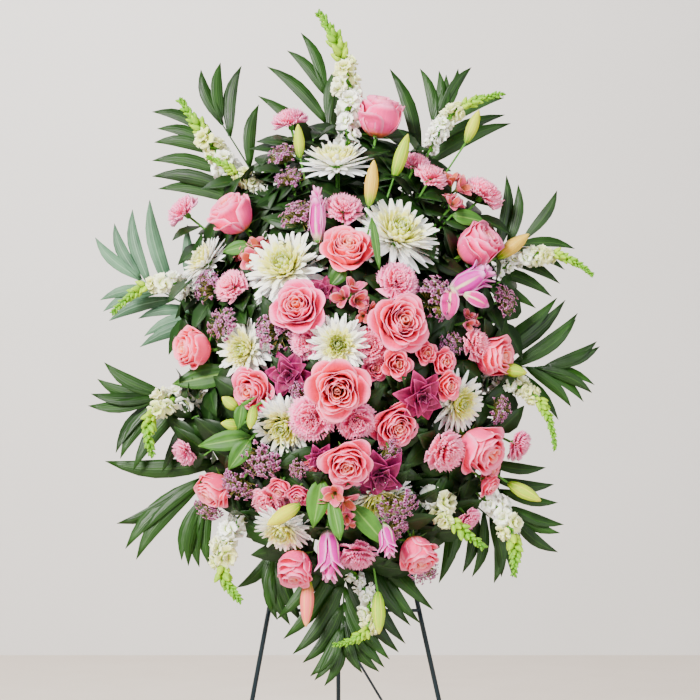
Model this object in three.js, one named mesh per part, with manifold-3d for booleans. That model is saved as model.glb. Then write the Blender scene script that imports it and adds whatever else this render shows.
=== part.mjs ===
// Standing funeral spray: an oval of pink roses, white mums and palm leaves on a folding wire easel.
// Millimetres, +Z up, front towards -Y, origin on the floor in the middle of the outline.

import * as THREE from 'three';
import { mergeVertices } from 'three/addons/utils/BufferGeometryUtils.js';
import Module from 'manifold-3d';

const wasm = await Module();
wasm.setup();

// Sizes that drive the rest
const EASEL_HEIGHT = 1220;
const EASEL_LEAN = 0.2;
const APEX = new THREE.Vector3(-10, -4, EASEL_HEIGHT);
const LEG_RADIUS = 3.5;
const WIRE_RADIUS = 2;
const FOAM = { width: 114, height: 230, front: 50, back: 30 };
const LEG_PLANE = -46;
const CLEARANCE = 0.35;

// The view that the places are measured in: pixels of a 700 pixel square, 1.5 mm each at the hub
const MM_PER_PIXEL = 1.5;
const VIEW_CENTRE = 350;
const VIEW_DISTANCE = 3000;
const SPRAY_CENTRE = { x: 346, y: 350, halfWidth: 185, halfHeight: 245 };
const DOME = { rim: 42, rise: 150 };

// The hub is the point in the foam that every stem is aimed at
const HUB = new THREE.Vector3(-6, -80, 1080);
const ACROSS = new THREE.Vector3(1, 0, 0);
const ALONG = new THREE.Vector3(0, Math.sin(EASEL_LEAN), Math.cos(EASEL_LEAN));
const OUTWARD = new THREE.Vector3(0, -Math.cos(EASEL_LEAN), Math.sin(EASEL_LEAN));
const EYE = new THREE.Vector3(HUB.x + 15, HUB.y - VIEW_DISTANCE, HUB.z);
const FACING_DEPTH = 60;

// Colours
const GREEN_DARK = 0x1f4a26;
const GREEN_PALE = 0x7da88c;
const GREEN_LEAF = 0x3f7a35;
const ROSE_PINK = 0xe98a96;
const CARNATION_PINK = 0xf48fab;
const MUM_WHITE = 0xf1efe2;
const SPRAY_ROSE = 0xea8f8c;
const LILY_PINK = 0xd779bd;
const LILY_MAGENTA = 0xa82a72;
const ALSTROEMERIA = 0xe58f95;
const WAX_PINK = 0xc58bb8;
const CREAM = 0xe6ebc4;
const BUD_GREEN = 0xc4cf5a;
const EASEL_GREEN = 0x0d2f31;
const FOAM_GREEN = 0x2f5b3a;
const CAGE_GREEN = 0x26402c;

// Heads: layers from the stem end up to the centre, as shares of the radius and of the height.
// Every second point of a layer is drawn in by notch and lowered by drop, which leaves petals between.
const layer = (out, up, notch = 0, drop = 0, turn = 0) => ({ out, up, notch, drop, turn });
const HEADS = {
  rose: {
    sides: 10,
    tall: 1.1,
    top: 0.98,
    shell: [[0.4, 0], [1, 0.5], [1, 0.72], [0.6, 1.02]],
    layers: [
      layer(0.62, 0.2),
      layer(1, 0.66, 0.14, 0.04, 0),
      layer(0.78, 0.86, 0.1, 0.06, 1),
      layer(0.54, 0.74),
      layer(0.47, 0.98, 0.12, 0.07, 0),
      layer(0.2, 0.78),
    ],
  },
  sprayRose: {
    sides: 6,
    tall: 1.25,
    top: 0.97,
    shell: [[0.5, 0], [1, 0.5], [1, 0.72], [0.7, 1]],
    layers: [
      layer(0.56, 0.16),
      layer(1, 0.68, 0.14, 0.04, 0),
      layer(0.62, 0.97, 0.12, 0.06, 1),
      layer(0.28, 0.78),
    ],
  },
  carnation: {
    sides: 10,
    tall: 1,
    top: 0.86,
    shell: [[0.28, 0], [0.45, 0.4], [1, 0.58], [1, 0.74], [0.72, 1]],
    layers: [
      layer(0.34, 0.42),
      layer(1, 0.7, 0.24, 0.1, 0),
      layer(0.66, 0.96, 0.3, 0.1, 1),
    ],
  },
  mum: {
    sides: 16,
    tall: 0.62,
    top: 0.8,
    shell: [[0.45, 0], [1, 0.26], [1, 0.46], [0.88, 0.74], [0.54, 1.02]],
    layers: [
      layer(1, 0.3, 0.34, -0.06, 0),
      layer(0.86, 0.68, 0.34, 0.1, 1),
      layer(0.52, 0.98, 0.36, 0.14, 0),
      layer(0.2, 0.74),
    ],
  },
  lily: {
    sides: 12,
    tall: 0.9,
    top: 0.3,
    shell: [[0.18, 0], [0.6, 0.36], [1, 0.72], [1, 0.86]],
    layers: [
      layer(0.5, 0.4, 0.3, 0, 0),
      layer(1, 0.82, 0.62, 0.1, 0),
      layer(0.52, 0.62, 0.34, 0, 0),
    ],
  },
  alstroemeria: {
    sides: 12,
    tall: 1.1,
    top: 0.4,
    shell: [[0.22, 0], [1, 0.8], [1, 0.95]],
    layers: [layer(1, 0.9, 0.56, 0.24, 0)],
  },
  wax: {
    sides: 8,
    tall: 0.95,
    top: 0.95,
    shell: [[0.4, 0], [1, 0.36], [1, 0.6], [0.76, 0.97]],
    layers: [layer(1, 0.46, 0.36, -0.1, 0), layer(0.74, 0.84, 0.36, 0.14, 1)],
  },
};

// Where the heads stand: [x, y, radius in pixels, extra depth in mm]; the first of a bunch carries its stem
const BUNCHES = [
  {
    name: 'roses_top',
    kind: 'rose',
    colour: ROSE_PINK,
    heads: [[348, 251, 25, 12], [378, 124, 25, 6]],
  },
  {
    name: 'roses_upper_left',
    kind: 'rose',
    colour: ROSE_PINK,
    heads: [[299, 308, 26, 14], [237, 220, 23, 0], [199, 349, 20, 0]],
  },
  {
    name: 'roses_right',
    kind: 'rose',
    colour: ROSE_PINK,
    heads: [[400, 323, 28, 14], [472, 250, 24, 0], [487, 357, 22, 0]],
  },
  {
    name: 'roses_lower_right',
    kind: 'rose',
    colour: ROSE_PINK,
    heads: [[475, 445, 25, 0], [415, 548, 20, -4]],
  },
  {
    name: 'roses_centre',
    kind: 'rose',
    colour: ROSE_PINK,
    heads: [[338, 389, 28, 16], [395, 424, 24, 4], [347, 461, 24, 12]],
  },
  {
    name: 'roses_lower_left',
    kind: 'rose',
    colour: ROSE_PINK,
    heads: [[254, 390, 22, 8], [218, 485, 18, 0], [297, 562, 20, 0]],
  },
  {
    name: 'mums_top',
    kind: 'mum',
    colour: MUM_WHITE,
    heads: [[397, 236, 40, 0], [336, 163, 33, -4]],
  },
  {
    name: 'mums_left',
    kind: 'mum',
    colour: MUM_WHITE,
    heads: [[286, 268, 38, 2], [205, 262, 26, -6], [246, 350, 29, 0]],
  },
  {
    name: 'mums_right',
    kind: 'mum',
    colour: MUM_WHITE,
    heads: [[338, 345, 27, -2], [457, 402, 28, -4]],
  },
  {
    name: 'mums_bottom',
    kind: 'mum',
    colour: MUM_WHITE,
    heads: [[285, 425, 30, 0], [378, 497, 30, -4], [283, 528, 26, -2]],
  },
  {
    name: 'carnations_top',
    kind: 'carnation',
    colour: CARNATION_PINK,
    heads: [[343, 210, 18, 8], [290, 122, 17, 0], [415, 165, 15, 4], [430, 178, 16, 8], [483, 195, 20, 0]],
  },
  {
    name: 'carnations_left',
    kind: 'carnation',
    colour: CARNATION_PINK,
    heads: [[232, 287, 16, 8], [184, 212, 17, 0], [185, 452, 13, -4]],
  },
  {
    name: 'carnations_centre',
    kind: 'carnation',
    colour: CARNATION_PINK,
    heads: [[370, 346, 17, 0], [397, 283, 19, 2], [308, 342, 16, 4]],
  },
  {
    name: 'carnations_right',
    kind: 'carnation',
    colour: CARNATION_PINK,
    heads: [[444, 451, 19, 6], [475, 345, 15, -6], [517, 445, 15, 0], [468, 518, 12, 0]],
  },
  {
    name: 'carnations_lower',
    kind: 'carnation',
    colour: CARNATION_PINK,
    heads: [[312, 418, 21, 12], [356, 420, 18, 4], [270, 500, 17, 0], [357, 553, 18, 0]],
  },
  {
    name: 'spray_roses_right',
    kind: 'sprayRose',
    colour: SPRAY_ROSE,
    heads: [
      [396, 364, 13, 10],
      [393, 342, 12, 0],
      [375, 368, 11, -2],
      [425, 353, 10, 4],
      [442, 362, 12, 8],
      [446, 385, 13, 16],
    ],
  },
  {
    name: 'spray_roses_lower_left',
    kind: 'sprayRose',
    colour: SPRAY_ROSE,
    heads: [[299, 493, 11, 6], [280, 487, 11, 6], [312, 467, 9, 4]],
  },
  {
    name: 'spray_roses_lower_right',
    kind: 'sprayRose',
    colour: SPRAY_ROSE,
    heads: [[488, 467, 12, 10], [488, 484, 11, 8]],
  },
  {
    name: 'lilies_pink_upper',
    kind: 'lily',
    colour: LILY_PINK,
    heads: [[465, 285, 26, 4]],
    buds: [[318, 243, 317, 188, 12, 14]],
  },
  {
    name: 'lilies_magenta_upper',
    kind: 'lily',
    colour: LILY_MAGENTA,
    heads: [[324, 293, 15, 0], [290, 375, 20, 6]],
  },
  {
    name: 'lilies_magenta_lower',
    kind: 'lily',
    colour: LILY_MAGENTA,
    heads: [[380, 475, 22, 14], [421, 397, 20, 10], [320, 458, 12, 6]],
  },
  {
    name: 'alstroemeria_upper',
    kind: 'alstroemeria',
    colour: ALSTROEMERIA,
    heads: [[350, 297, 14, 2], [365, 312, 10, -2]],
  },
  {
    name: 'alstroemeria_left',
    kind: 'alstroemeria',
    colour: ALSTROEMERIA,
    heads: [[255, 258, 16, 8]],
  },
  {
    name: 'alstroemeria_right',
    kind: 'alstroemeria',
    colour: ALSTROEMERIA,
    heads: [[455, 188, 13, -4], [452, 205, 10, 0], [468, 322, 9, 0]],
  },
  {
    name: 'alstroemeria_lower',
    kind: 'alstroemeria',
    colour: ALSTROEMERIA,
    heads: [[337, 497, 14, 8], [345, 518, 9, 8]],
  },
  {
    name: 'waxflower_upper_left',
    kind: 'wax',
    colour: WAX_PINK,
    heads: [[300, 215, 17, 2], [283, 155, 14, 0], [290, 178, 13, 0]],
  },
  {
    name: 'waxflower_left',
    kind: 'wax',
    colour: WAX_PINK,
    heads: [[275, 332, 17, 4], [208, 285, 15, 0], [222, 325, 15, 0], [302, 392, 10, 4]],
  },
  {
    name: 'waxflower_right',
    kind: 'wax',
    colour: WAX_PINK,
    heads: [[437, 298, 18, 4], [505, 300, 14, 0], [450, 345, 12, -6], [500, 410, 12, 0]],
  },
  {
    name: 'waxflower_lower_left',
    kind: 'wax',
    colour: WAX_PINK,
    heads: [[260, 462, 17, 4], [238, 485, 15, 4], [208, 508, 13, 0], [300, 470, 9, 0]],
  },
  {
    name: 'waxflower_lower_right',
    kind: 'wax',
    colour: WAX_PINK,
    heads: [[398, 505, 16, 4], [390, 450, 10, 0], [392, 528, 13, 4], [425, 572, 13, 0]],
  },
];

// Closed buds: [foot x, foot y, tip x, tip y, half width in pixels, extra depth in mm]
const BUD_BUNCHES = [
  {
    name: 'lily_buds_top',
    colour: BUD_GREEN,
    buds: [
      [394, 178, 408, 134, 8, 26],
      [369, 206, 374, 160, 8, 34],
      [300, 158, 298, 124, 6, 26],
      [466, 143, 479, 110, 7, 14],
    ],
  },
  {
    name: 'lily_buds_right',
    colour: BUD_GREEN,
    buds: [[500, 368, 527, 373, 7, 14], [497, 258, 529, 234, 8, 14], [508, 483, 541, 501, 8, 10]],
  },
  {
    name: 'lily_buds_bottom',
    colour: BUD_GREEN,
    buds: [[300, 505, 267, 525, 8, 34], [378, 592, 379, 634, 8, 8], [308, 579, 306, 627, 8, 8]],
  },
  {
    name: 'lilies_hanging',
    colour: LILY_PINK,
    buds: [[327, 528, 330, 583, 15, 6], [384, 524, 390, 556, 8, 24]],
  },
  {
    name: 'alstroemeria_buds_left',
    colour: BUD_GREEN,
    buds: [[241, 426, 221, 423, 6, 30], [238, 409, 222, 397, 6, 34], [254, 406, 250, 429, 6, 22]],
  },
];

// Snapdragon spikes: centre line in pixels from foot to tip, half width in pixels, slope from the hub
const SPIKE_BUNCHES = [
  {
    name: 'snapdragons_top',
    spikes: [
      { line: [[347, 150], [345, 70], [319, 14]], width: 15, slope: 0.2 },
      { line: [[430, 150], [455, 112], [503, 94]], width: 11, slope: 0.14 },
    ],
  },
  {
    name: 'snapdragons_upper_left',
    spikes: [
      { line: [[243, 192], [212, 145], [180, 100]], width: 14, slope: 0.1 },
      { line: [[288, 210], [245, 178], [208, 157]], width: 9, slope: 0.2 },
    ],
  },
  {
    name: 'snapdragons_left',
    spikes: [
      { line: [[198, 297], [155, 284], [113, 313]], width: 12, slope: 0.12 },
      { line: [[224, 402], [160, 405], [152, 455]], width: 14, slope: 0.2 },
    ],
  },
  {
    name: 'snapdragons_lower_left',
    spikes: [
      { line: [[252, 506], [222, 555], [240, 600]], width: 14, slope: 0.12 },
      { line: [[352, 572], [370, 622], [334, 645]], width: 12, slope: 0.1 },
    ],
  },
  {
    name: 'snapdragons_lower_right',
    spikes: [
      { line: [[417, 478], [444, 512], [482, 546]], width: 15, slope: 0.26 },
      { line: [[484, 500], [510, 528], [514, 575]], width: 13, slope: 0.14 },
    ],
  },
  {
    name: 'snapdragons_right',
    spikes: [
      { line: [[472, 388], [530, 392], [555, 449]], width: 13, slope: 0.2 },
      { line: [[492, 276], [545, 254], [592, 275]], width: 12, slope: 0.14 },
    ],
  },
];

// Palm fronds: the leaf stalk runs from the hub through root to crown, and the leaflets' tips go round it
const FROND_BUNCHES = [
  {
    name: 'palm_fronds_top',
    colour: GREEN_DARK,
    fronds: [
      {
        root: [333, 160],
        crown: [312, 92],
        tips: [[272, 90], [267, 66], [287, 50], [301, 32], [322, 48], [337, 67]],
        slope: 0.03,
      },
      {
        root: [415, 165],
        crown: [428, 118],
        tips: [[390, 68], [420, 68], [439, 71], [457, 68], [472, 67], [500, 95], [510, 124]],
        slope: 0.03,
      },
    ],
  },
  {
    name: 'palm_fronds_upper_left',
    colour: GREEN_DARK,
    fronds: [
      {
        root: [250, 185],
        crown: [234, 122],
        tips: [[201, 69], [221, 62], [241, 65], [262, 95]],
        slope: 0.05,
      },
      {
        root: [246, 210],
        crown: [200, 160],
        tips: [[158, 188], [152, 176], [152, 160], [154, 142], [157, 128], [152, 111], [182, 112]],
        slope: 0,
      },
    ],
  },
  {
    name: 'palm_fronds_left',
    colour: GREEN_PALE,
    fronds: [
      {
        root: [222, 315],
        crown: [160, 262],
        tips: [[141, 345], [122, 330], [100, 302], [95, 237], [114, 223], [131, 209], [150, 199]],
        slope: 0.02,
      },
    ],
  },
  {
    name: 'palm_fronds_lower_left',
    colour: GREEN_DARK,
    fronds: [
      {
        root: [236, 388],
        crown: [160, 388],
        tips: [[105, 460], [112, 430], [88, 405], [90, 391], [98, 378], [104, 361], [141, 345]],
        slope: 0.06,
      },
      {
        root: [240, 452],
        crown: [180, 480],
        tips: [[199, 566], [182, 560], [136, 558], [125, 548], [117, 524], [108, 468]],
        slope: 0.01,
      },
    ],
  },
  {
    name: 'palm_fronds_bottom',
    colour: GREEN_DARK,
    fronds: [
      {
        root: [345, 560],
        crown: [345, 612],
        tips: [
          [405, 641], [398, 652], [387, 665], [375, 673], [352, 680],
          [324, 686], [310, 680], [293, 655], [284, 638],
        ],
        slope: 0.04,
      },
      {
        root: [292, 525],
        crown: [272, 560],
        tips: [[302, 622], [277, 620], [257, 603], [237, 587], [218, 572]],
        slope: -0.01,
      },
    ],
  },
  {
    name: 'palm_fronds_lower_right',
    colour: GREEN_DARK,
    fronds: [
      {
        root: [432, 490],
        crown: [458, 525],
        tips: [[509, 578], [495, 583], [477, 579], [463, 575], [440, 583], [434, 608], [411, 624]],
        slope: 0,
      },
      {
        root: [480, 468],
        crown: [515, 490],
        tips: [[547, 467], [556, 484], [560, 502], [565, 523], [561, 535], [552, 553]],
        slope: 0.04,
      },
    ],
  },
  {
    name: 'palm_fronds_right',
    colour: GREEN_DARK,
    fronds: [
      {
        root: [478, 368],
        crown: [530, 368],
        tips: [
          [557, 299], [568, 302], [578, 316], [598, 344],
          [597, 382], [590, 394], [578, 403], [560, 420],
        ],
        slope: 0.03,
      },
      {
        root: [478, 262],
        crown: [528, 240],
        tips: [[518, 186], [557, 191], [573, 246], [562, 268], [560, 284], [535, 308]],
        slope: 0.05,
      },
    ],
  },
];

// Broad leaves: [foot x, foot y, tip x, tip y, half width in pixels, extra depth in mm]
const LEAF_BUNCHES = [
  {
    name: 'leaves_upper',
    colour: GREEN_LEAF,
    leaves: [
      [345, 268, 330, 286, 8, 6],
      [372, 218, 380, 272, 4, 34],
      [250, 245, 222, 252, 7, 20],
      [452, 215, 486, 222, 8, 4],
    ],
  },
  {
    name: 'leaves_lower',
    colour: GREEN_LEAF,
    leaves: [
      [322, 478, 313, 528, 11, 22],
      [340, 540, 330, 492, 7, 40],
      [352, 505, 388, 547, 10, 16],
      [405, 400, 425, 418, 7, -8],
    ],
  },
  {
    name: 'leaves_left',
    colour: GREEN_LEAF,
    leaves: [
      [252, 437, 198, 446, 10, 16],
      [250, 440, 228, 470, 9, 22],
      [232, 372, 180, 384, 12, -4],
      [242, 404, 238, 430, 6, 40],
    ],
  },
];

// Where a pixel's line of sight meets the layer that lies depth in front of the hub
function spot(x, y, depth) {
  const sight = new THREE.Vector3(
    (x - VIEW_CENTRE) * MM_PER_PIXEL,
    VIEW_DISTANCE,
    (VIEW_CENTRE - y) * MM_PER_PIXEL,
  );
  const gap = HUB.clone().addScaledVector(OUTWARD, depth).sub(EYE);
  return EYE.clone().addScaledVector(sight, gap.dot(OUTWARD) / sight.dot(OUTWARD));
}

// The flower heads fill a low dome: its depth at a pixel
function domeDepth(x, y) {
  const across = (x - SPRAY_CENTRE.x) / SPRAY_CENTRE.halfWidth;
  const along = (y - SPRAY_CENTRE.y) / SPRAY_CENTRE.halfHeight;
  return DOME.rim + DOME.rise * Math.max(0, 1 - across * across - along * along);
}

// Fronds and spikes lie on low cones round the hub
function coneDepth(x, y, slope) {
  return slope * MM_PER_PIXEL * Math.hypot(x - SPRAY_CENTRE.x, y - SPRAY_CENTRE.y);
}

// Faces of a geometry share their corners once only the positions are left
function closed(geometry) {
  geometry.deleteAttribute('normal');
  geometry.deleteAttribute('uv');
  return mergeVertices(geometry, 1e-4);
}

// A closed geometry becomes a solid without its flat triangles, facing out
function solid(merged) {
  const place = merged.attributes.position;
  const corners = [];
  let volume = 0;
  for (let i = 0; i < merged.index.count; i += 3) {
    const [a, b, c] = [0, 1, 2].map((k) => merged.index.getX(i + k));
    if (a !== b && b !== c && c !== a) {
      corners.push(a, b, c);
      const [p, q, r] = [a, b, c].map((v) => new THREE.Vector3().fromBufferAttribute(place, v));
      volume += p.dot(q.cross(r));
    }
  }
  if (volume < 0) {
    corners.reverse();
  }
  return new wasm.Manifold(
    new wasm.Mesh({
      numProp: 3,
      vertProperties: Float32Array.from(place.array),
      triVerts: Uint32Array.from(corners),
    }),
  );
}

// Turns a shape that stands on its Y axis so that it stands on a point along a direction
function standing(base, direction, spin = 0) {
  const turn = new THREE.Quaternion().setFromUnitVectors(new THREE.Vector3(0, 1, 0), direction);
  turn.multiply(new THREE.Quaternion().setFromAxisAngle(new THREE.Vector3(0, 1, 0), spin));
  return new THREE.Matrix4().compose(base, turn, new THREE.Vector3(1, 1, 1));
}

// A turned body whose layers are notched between petals. It narrows to a three-sided stem whose far
// ring is left below ROOT_MARK, so that it can be drawn to wherever the stem starts.
const ROOT_MARK = -1000;
const STEM_RADIUS = 2.4;
function petalBody(layers, top, sides, radius, height) {
  const neck = [layer(0, ROOT_MARK / height), layer(0, ROOT_MARK / height), layer(0, 0)];
  const rings = [...neck, ...layers, layer(0, top)];
  const profile = rings.map((ring) => new THREE.Vector2(ring.out * radius, ring.up * height));
  const geometry = new THREE.LatheGeometry(profile, sides);
  const place = geometry.attributes.position;
  for (let v = 0; v < place.count; v += 1) {
    const side = Math.floor(v / profile.length) % sides;
    const level = v % profile.length;
    const ring = rings[level];
    if (level === 1 || level === 2) {
      const angle = (2 * Math.PI * Math.floor((side * 3) / sides)) / 3;
      place.setX(v, STEM_RADIUS * Math.sin(angle));
      place.setZ(v, STEM_RADIUS * Math.cos(angle));
    } else if ((side + ring.turn) % 2 === 1) {
      place.setX(v, place.getX(v) * (1 - ring.notch));
      place.setZ(v, place.getZ(v) * (1 - ring.notch));
      place.setY(v, place.getY(v) - ring.drop * height);
    }
  }
  return closed(geometry);
}

// The body is stood in its place and the far ring of its stem is drawn to the root
function planted(raw, stand, root) {
  const geometry = raw.clone().applyMatrix4(stand);
  const [from, to] = [raw.attributes.position, geometry.attributes.position];
  const mark = new THREE.Vector3(0, ROOT_MARK, 0).applyMatrix4(stand);
  const shift = root.clone().sub(mark);
  for (let v = 0; v < from.count; v += 1) {
    if (from.getY(v) < ROOT_MARK / 2) {
      to.setXYZ(v, to.getX(v) + shift.x, to.getY(v) + shift.y, to.getZ(v) + shift.z);
    }
  }
  return geometry;
}

// The space that a head keeps to itself: a plain turned body with CLEARANCE all round
function shellBody(outline, radius, height) {
  const sides = 8;
  const round = (radius + CLEARANCE) / Math.cos(Math.PI / sides);
  const profile = [new THREE.Vector2(0, -CLEARANCE)];
  outline.forEach(([out, up]) => profile.push(new THREE.Vector2(out * round, up * height)));
  profile[1].y = -CLEARANCE;
  const last = outline[outline.length - 1];
  profile.push(new THREE.Vector2(0, last[1] * height + CLEARANCE));
  profile[profile.length - 2].y += CLEARANCE;
  return { profile, geometry: closed(new THREE.LatheGeometry(profile, sides)) };
}

function headPart(kind, [x, y, pixels, extra], push = 0) {
  const style = HEADS[kind];
  const radius = pixels * MM_PER_PIXEL;
  const height = radius * style.tall;
  const depth = domeDepth(x, y) + extra - push;
  const centre = spot(x, y, depth);
  const axis = centre.clone().sub(HUB).addScaledVector(OUTWARD, FACING_DEPTH).normalize();
  const base = centre.clone().addScaledVector(axis, -height * 0.5);
  const stand = standing(base, axis, x * 0.7 + y * 0.3);
  const shell = shellBody(style.shell, radius, height);
  return {
    rank: depth,
    base,
    foot: base.clone().addScaledVector(axis, height * 0.1),
    core: base.clone().addScaledVector(axis, height * 0.4),
    centre,
    reach: Math.hypot(radius, height * 0.5) + 1,
    shape: (root) => planted(petalBody(style.layers, style.top, style.sides, radius, height), stand, root),
    shell: shell.geometry.applyMatrix4(stand),
    profile: shell.profile,
    inverse: stand.clone().invert(),
    again: (further) => headPart(kind, [x, y, pixels, extra], further),
  };
}

// A closed bud is a slim turned body between two places
const BUD_LAYERS = [layer(1, 0.4, 0.1, 0, 0), layer(0.78, 0.74, 0.1, 0, 0)];
function budPart([footX, footY, tipX, tipY, pixels, extra], push = 0) {
  const radius = pixels * MM_PER_PIXEL;
  const depth = domeDepth((footX + tipX) / 2, (footY + tipY) / 2) + extra - push;
  const base = spot(footX, footY, depth);
  const tip = spot(tipX, tipY, depth + radius);
  const height = base.distanceTo(tip);
  const axis = tip.clone().sub(base).normalize();
  const stand = standing(base, axis);
  const shell = shellBody([[0.5, 0], [1, 0.4], [0.8, 0.74], [0.2, 1]], radius, height);
  return {
    rank: depth,
    base,
    foot: base.clone().addScaledVector(axis, height * 0.12),
    core: base.clone().addScaledVector(axis, height * 0.3),
    centre: base.clone().lerp(tip, 0.5),
    reach: Math.hypot(radius, height * 0.5) + 1,
    shape: (root) => planted(petalBody(BUD_LAYERS, 1, 6, radius, height), stand, root),
    shell: shell.geometry.applyMatrix4(stand),
    profile: shell.profile,
    inverse: stand.clone().invert(),
    again: (further) => budPart([footX, footY, tipX, tipY, pixels, extra], further),
  };
}

// A body that stands on its Y axis from 0 to 1 is laid along a curve
function alongCurve(geometry, curve, root = curve.getPointAt(0)) {
  const place = geometry.attributes.position;
  const start = curve.getPointAt(0);
  for (let v = 0; v < place.count; v += 1) {
    const marked = place.getY(v) < ROOT_MARK / 2;
    const share = THREE.MathUtils.clamp(place.getY(v), 0, 1);
    const centre = curve.getPointAt(share);
    const ahead = curve.getTangentAt(share);
    const aside = ahead.clone().cross(OUTWARD).normalize();
    const above = aside.clone().cross(ahead);
    centre.addScaledVector(aside, place.getX(v)).addScaledVector(above, place.getZ(v));
    if (marked) {
      centre.add(root).sub(start);
    }
    place.setXYZ(v, centre.x, centre.y, centre.z);
  }
  return geometry;
}

// A snapdragon spike: florets stand out all round in turn, large near the foot and small at the tip
const SPIKE_RINGS = 9;
function spikePart({ line, width, slope }) {
  const curve = new THREE.CatmullRomCurve3(line.map(([x, y]) => spot(x, y, coneDepth(x, y, slope))));
  const radius = width * MM_PER_PIXEL;
  const taper = (share) => 0.22 + 0.78 * Math.sin(Math.PI * (0.2 + 0.72 * share));
  const rings = [];
  const plain = [];
  for (let i = 0; i < SPIKE_RINGS; i += 1) {
    const share = (i + 0.4) / SPIKE_RINGS;
    rings.push(layer(taper(share), share, 0.66, 0.05, i % 2));
  }
  for (let i = 0; i < SPIKE_RINGS; i += 2) {
    const share = (i + 0.4) / SPIKE_RINGS;
    plain.push(layer(taper(share) * 1.16 + CLEARANCE / radius, share - 0.02));
  }
  const length = curve.getLength();
  return {
    foot: curve.getPointAt(0.06),
    base: curve.getPointAt(0),
    centre: curve.getPointAt(0.5),
    reach: length * 0.6 + radius,
    shape: (root) => alongCurve(petalBody(rings, 1, 6, radius, 1), curve, root),
    shell: alongCurve(petalBody(plain, 1, 6, radius, 1), curve),
  };
}

// A flat outline in pixels becomes a thin blade whose depth follows a rule. The outline starts and ends
// at the root of its stalk, which is drawn to wherever the stem starts.
function bladeBody(outline, thickness, depthAt, root) {
  const ends = [outline[0], outline[outline.length - 1]];
  const nominal = ends.map(([x, y]) => spot(x, y, depthAt(x, y)));
  const middle = nominal[0].add(nominal[1]).multiplyScalar(0.5);
  const shift = root ? root.clone().sub(middle) : new THREE.Vector3();
  const shape = new THREE.Shape(outline.map(([x, y]) => new THREE.Vector2(x, y)));
  const geometry = closed(new THREE.ExtrudeGeometry(shape, { depth: thickness, bevelEnabled: false }));
  const place = geometry.attributes.position;
  for (let v = 0; v < place.count; v += 1) {
    const [x, y, z] = [place.getX(v), place.getY(v), place.getZ(v)];
    const point = spot(x, y, depthAt(x, y) + z - thickness / 2);
    if (ends.some((end) => gapOf(end, [x, y]) < 1e-3)) {
      point.add(shift);
    }
    place.setXYZ(v, point.x, point.y, point.z);
  }
  return geometry;
}

const BLADE_THICKNESS = 1;
const mix = ([ax, ay], [bx, by], share) => [ax + (bx - ax) * share, ay + (by - ay) * share];
const gapOf = ([ax, ay], [bx, by]) => Math.hypot(bx - ax, by - ay);

// Leaflets spread round the middle of the rib, each inside its own sector so that none crosses the next
const RIB_HALF = 1.4;
const VALLEY_REACH = 7;
const STALK_SECTOR = 0.3;
function frondOutline({ root, crown, tips }, stalk) {
  const centre = mix(root, crown, 0.4);
  const back = Math.atan2(stalk[1] - centre[1], stalk[0] - centre[0]);
  const at = (angle, reach) => [
    centre[0] + Math.cos(back + angle) * reach,
    centre[1] + Math.sin(back + angle) * reach,
  ];
  const full = 2 * Math.PI;
  const leaflets = tips
    .map((tip) => ({
      angle: (Math.atan2(tip[1] - centre[1], tip[0] - centre[0]) - back + 2 * full) % full,
      reach: gapOf(centre, tip),
    }))
    .sort((one, other) => one.angle - other.angle);
  const between = leaflets.slice(1).map((leaflet, i) => (leaflet.angle + leaflets[i].angle) / 2);
  const sectors = [STALK_SECTOR, ...between, full - STALK_SECTOR];
  const outline = [[stalk[0] - Math.sin(back) * RIB_HALF, stalk[1] + Math.cos(back) * RIB_HALF]];
  leaflets.forEach(({ angle, reach }, i) => {
    const widest = (0.07 * reach + 1.5) / (0.5 * reach);
    const before = Math.min(widest, 0.9 * (angle - sectors[i]));
    const after = Math.min(widest, 0.9 * (sectors[i + 1] - angle));
    outline.push(at(Math.max(sectors[i], angle - 0.5), VALLEY_REACH));
    outline.push(at(angle - before, 0.5 * reach), at(angle, reach), at(angle + after, 0.5 * reach));
  });
  const last = leaflets[leaflets.length - 1].angle;
  outline.push(at(Math.min(sectors[leaflets.length], last + 0.5), VALLEY_REACH));
  outline.push([stalk[0] + Math.sin(back) * RIB_HALF, stalk[1] - Math.cos(back) * RIB_HALF]);
  return outline;
}

// A frond: its stalk is a strip that starts at the place where its stem ends
const FROND_STALK_SHARE = 0.6;
function frondPart(frond) {
  const centre = [SPRAY_CENTRE.x, SPRAY_CENTRE.y];
  const stalk = mix(centre, frond.root, FROND_STALK_SHARE);
  const depthAt = (x, y) => coneDepth(x, y, frond.slope);
  const outline = frondOutline(frond, stalk);
  const middle = mix(frond.root, frond.crown, 1);
  const reach = Math.max(...[...frond.tips, stalk].map((tip) => gapOf(tip, middle))) * MM_PER_PIXEL + 10;
  const near = mix(stalk, frond.root, 0.1);
  return {
    foot: spot(near[0], near[1], depthAt(near[0], near[1])),
    centre: spot(middle[0], middle[1], depthAt(middle[0], middle[1])),
    reach,
    shape: (root) => bladeBody(outline, BLADE_THICKNESS, depthAt, root),
    shell: bladeBody(outline, BLADE_THICKNESS + 2 * CLEARANCE, depthAt),
  };
}

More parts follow.
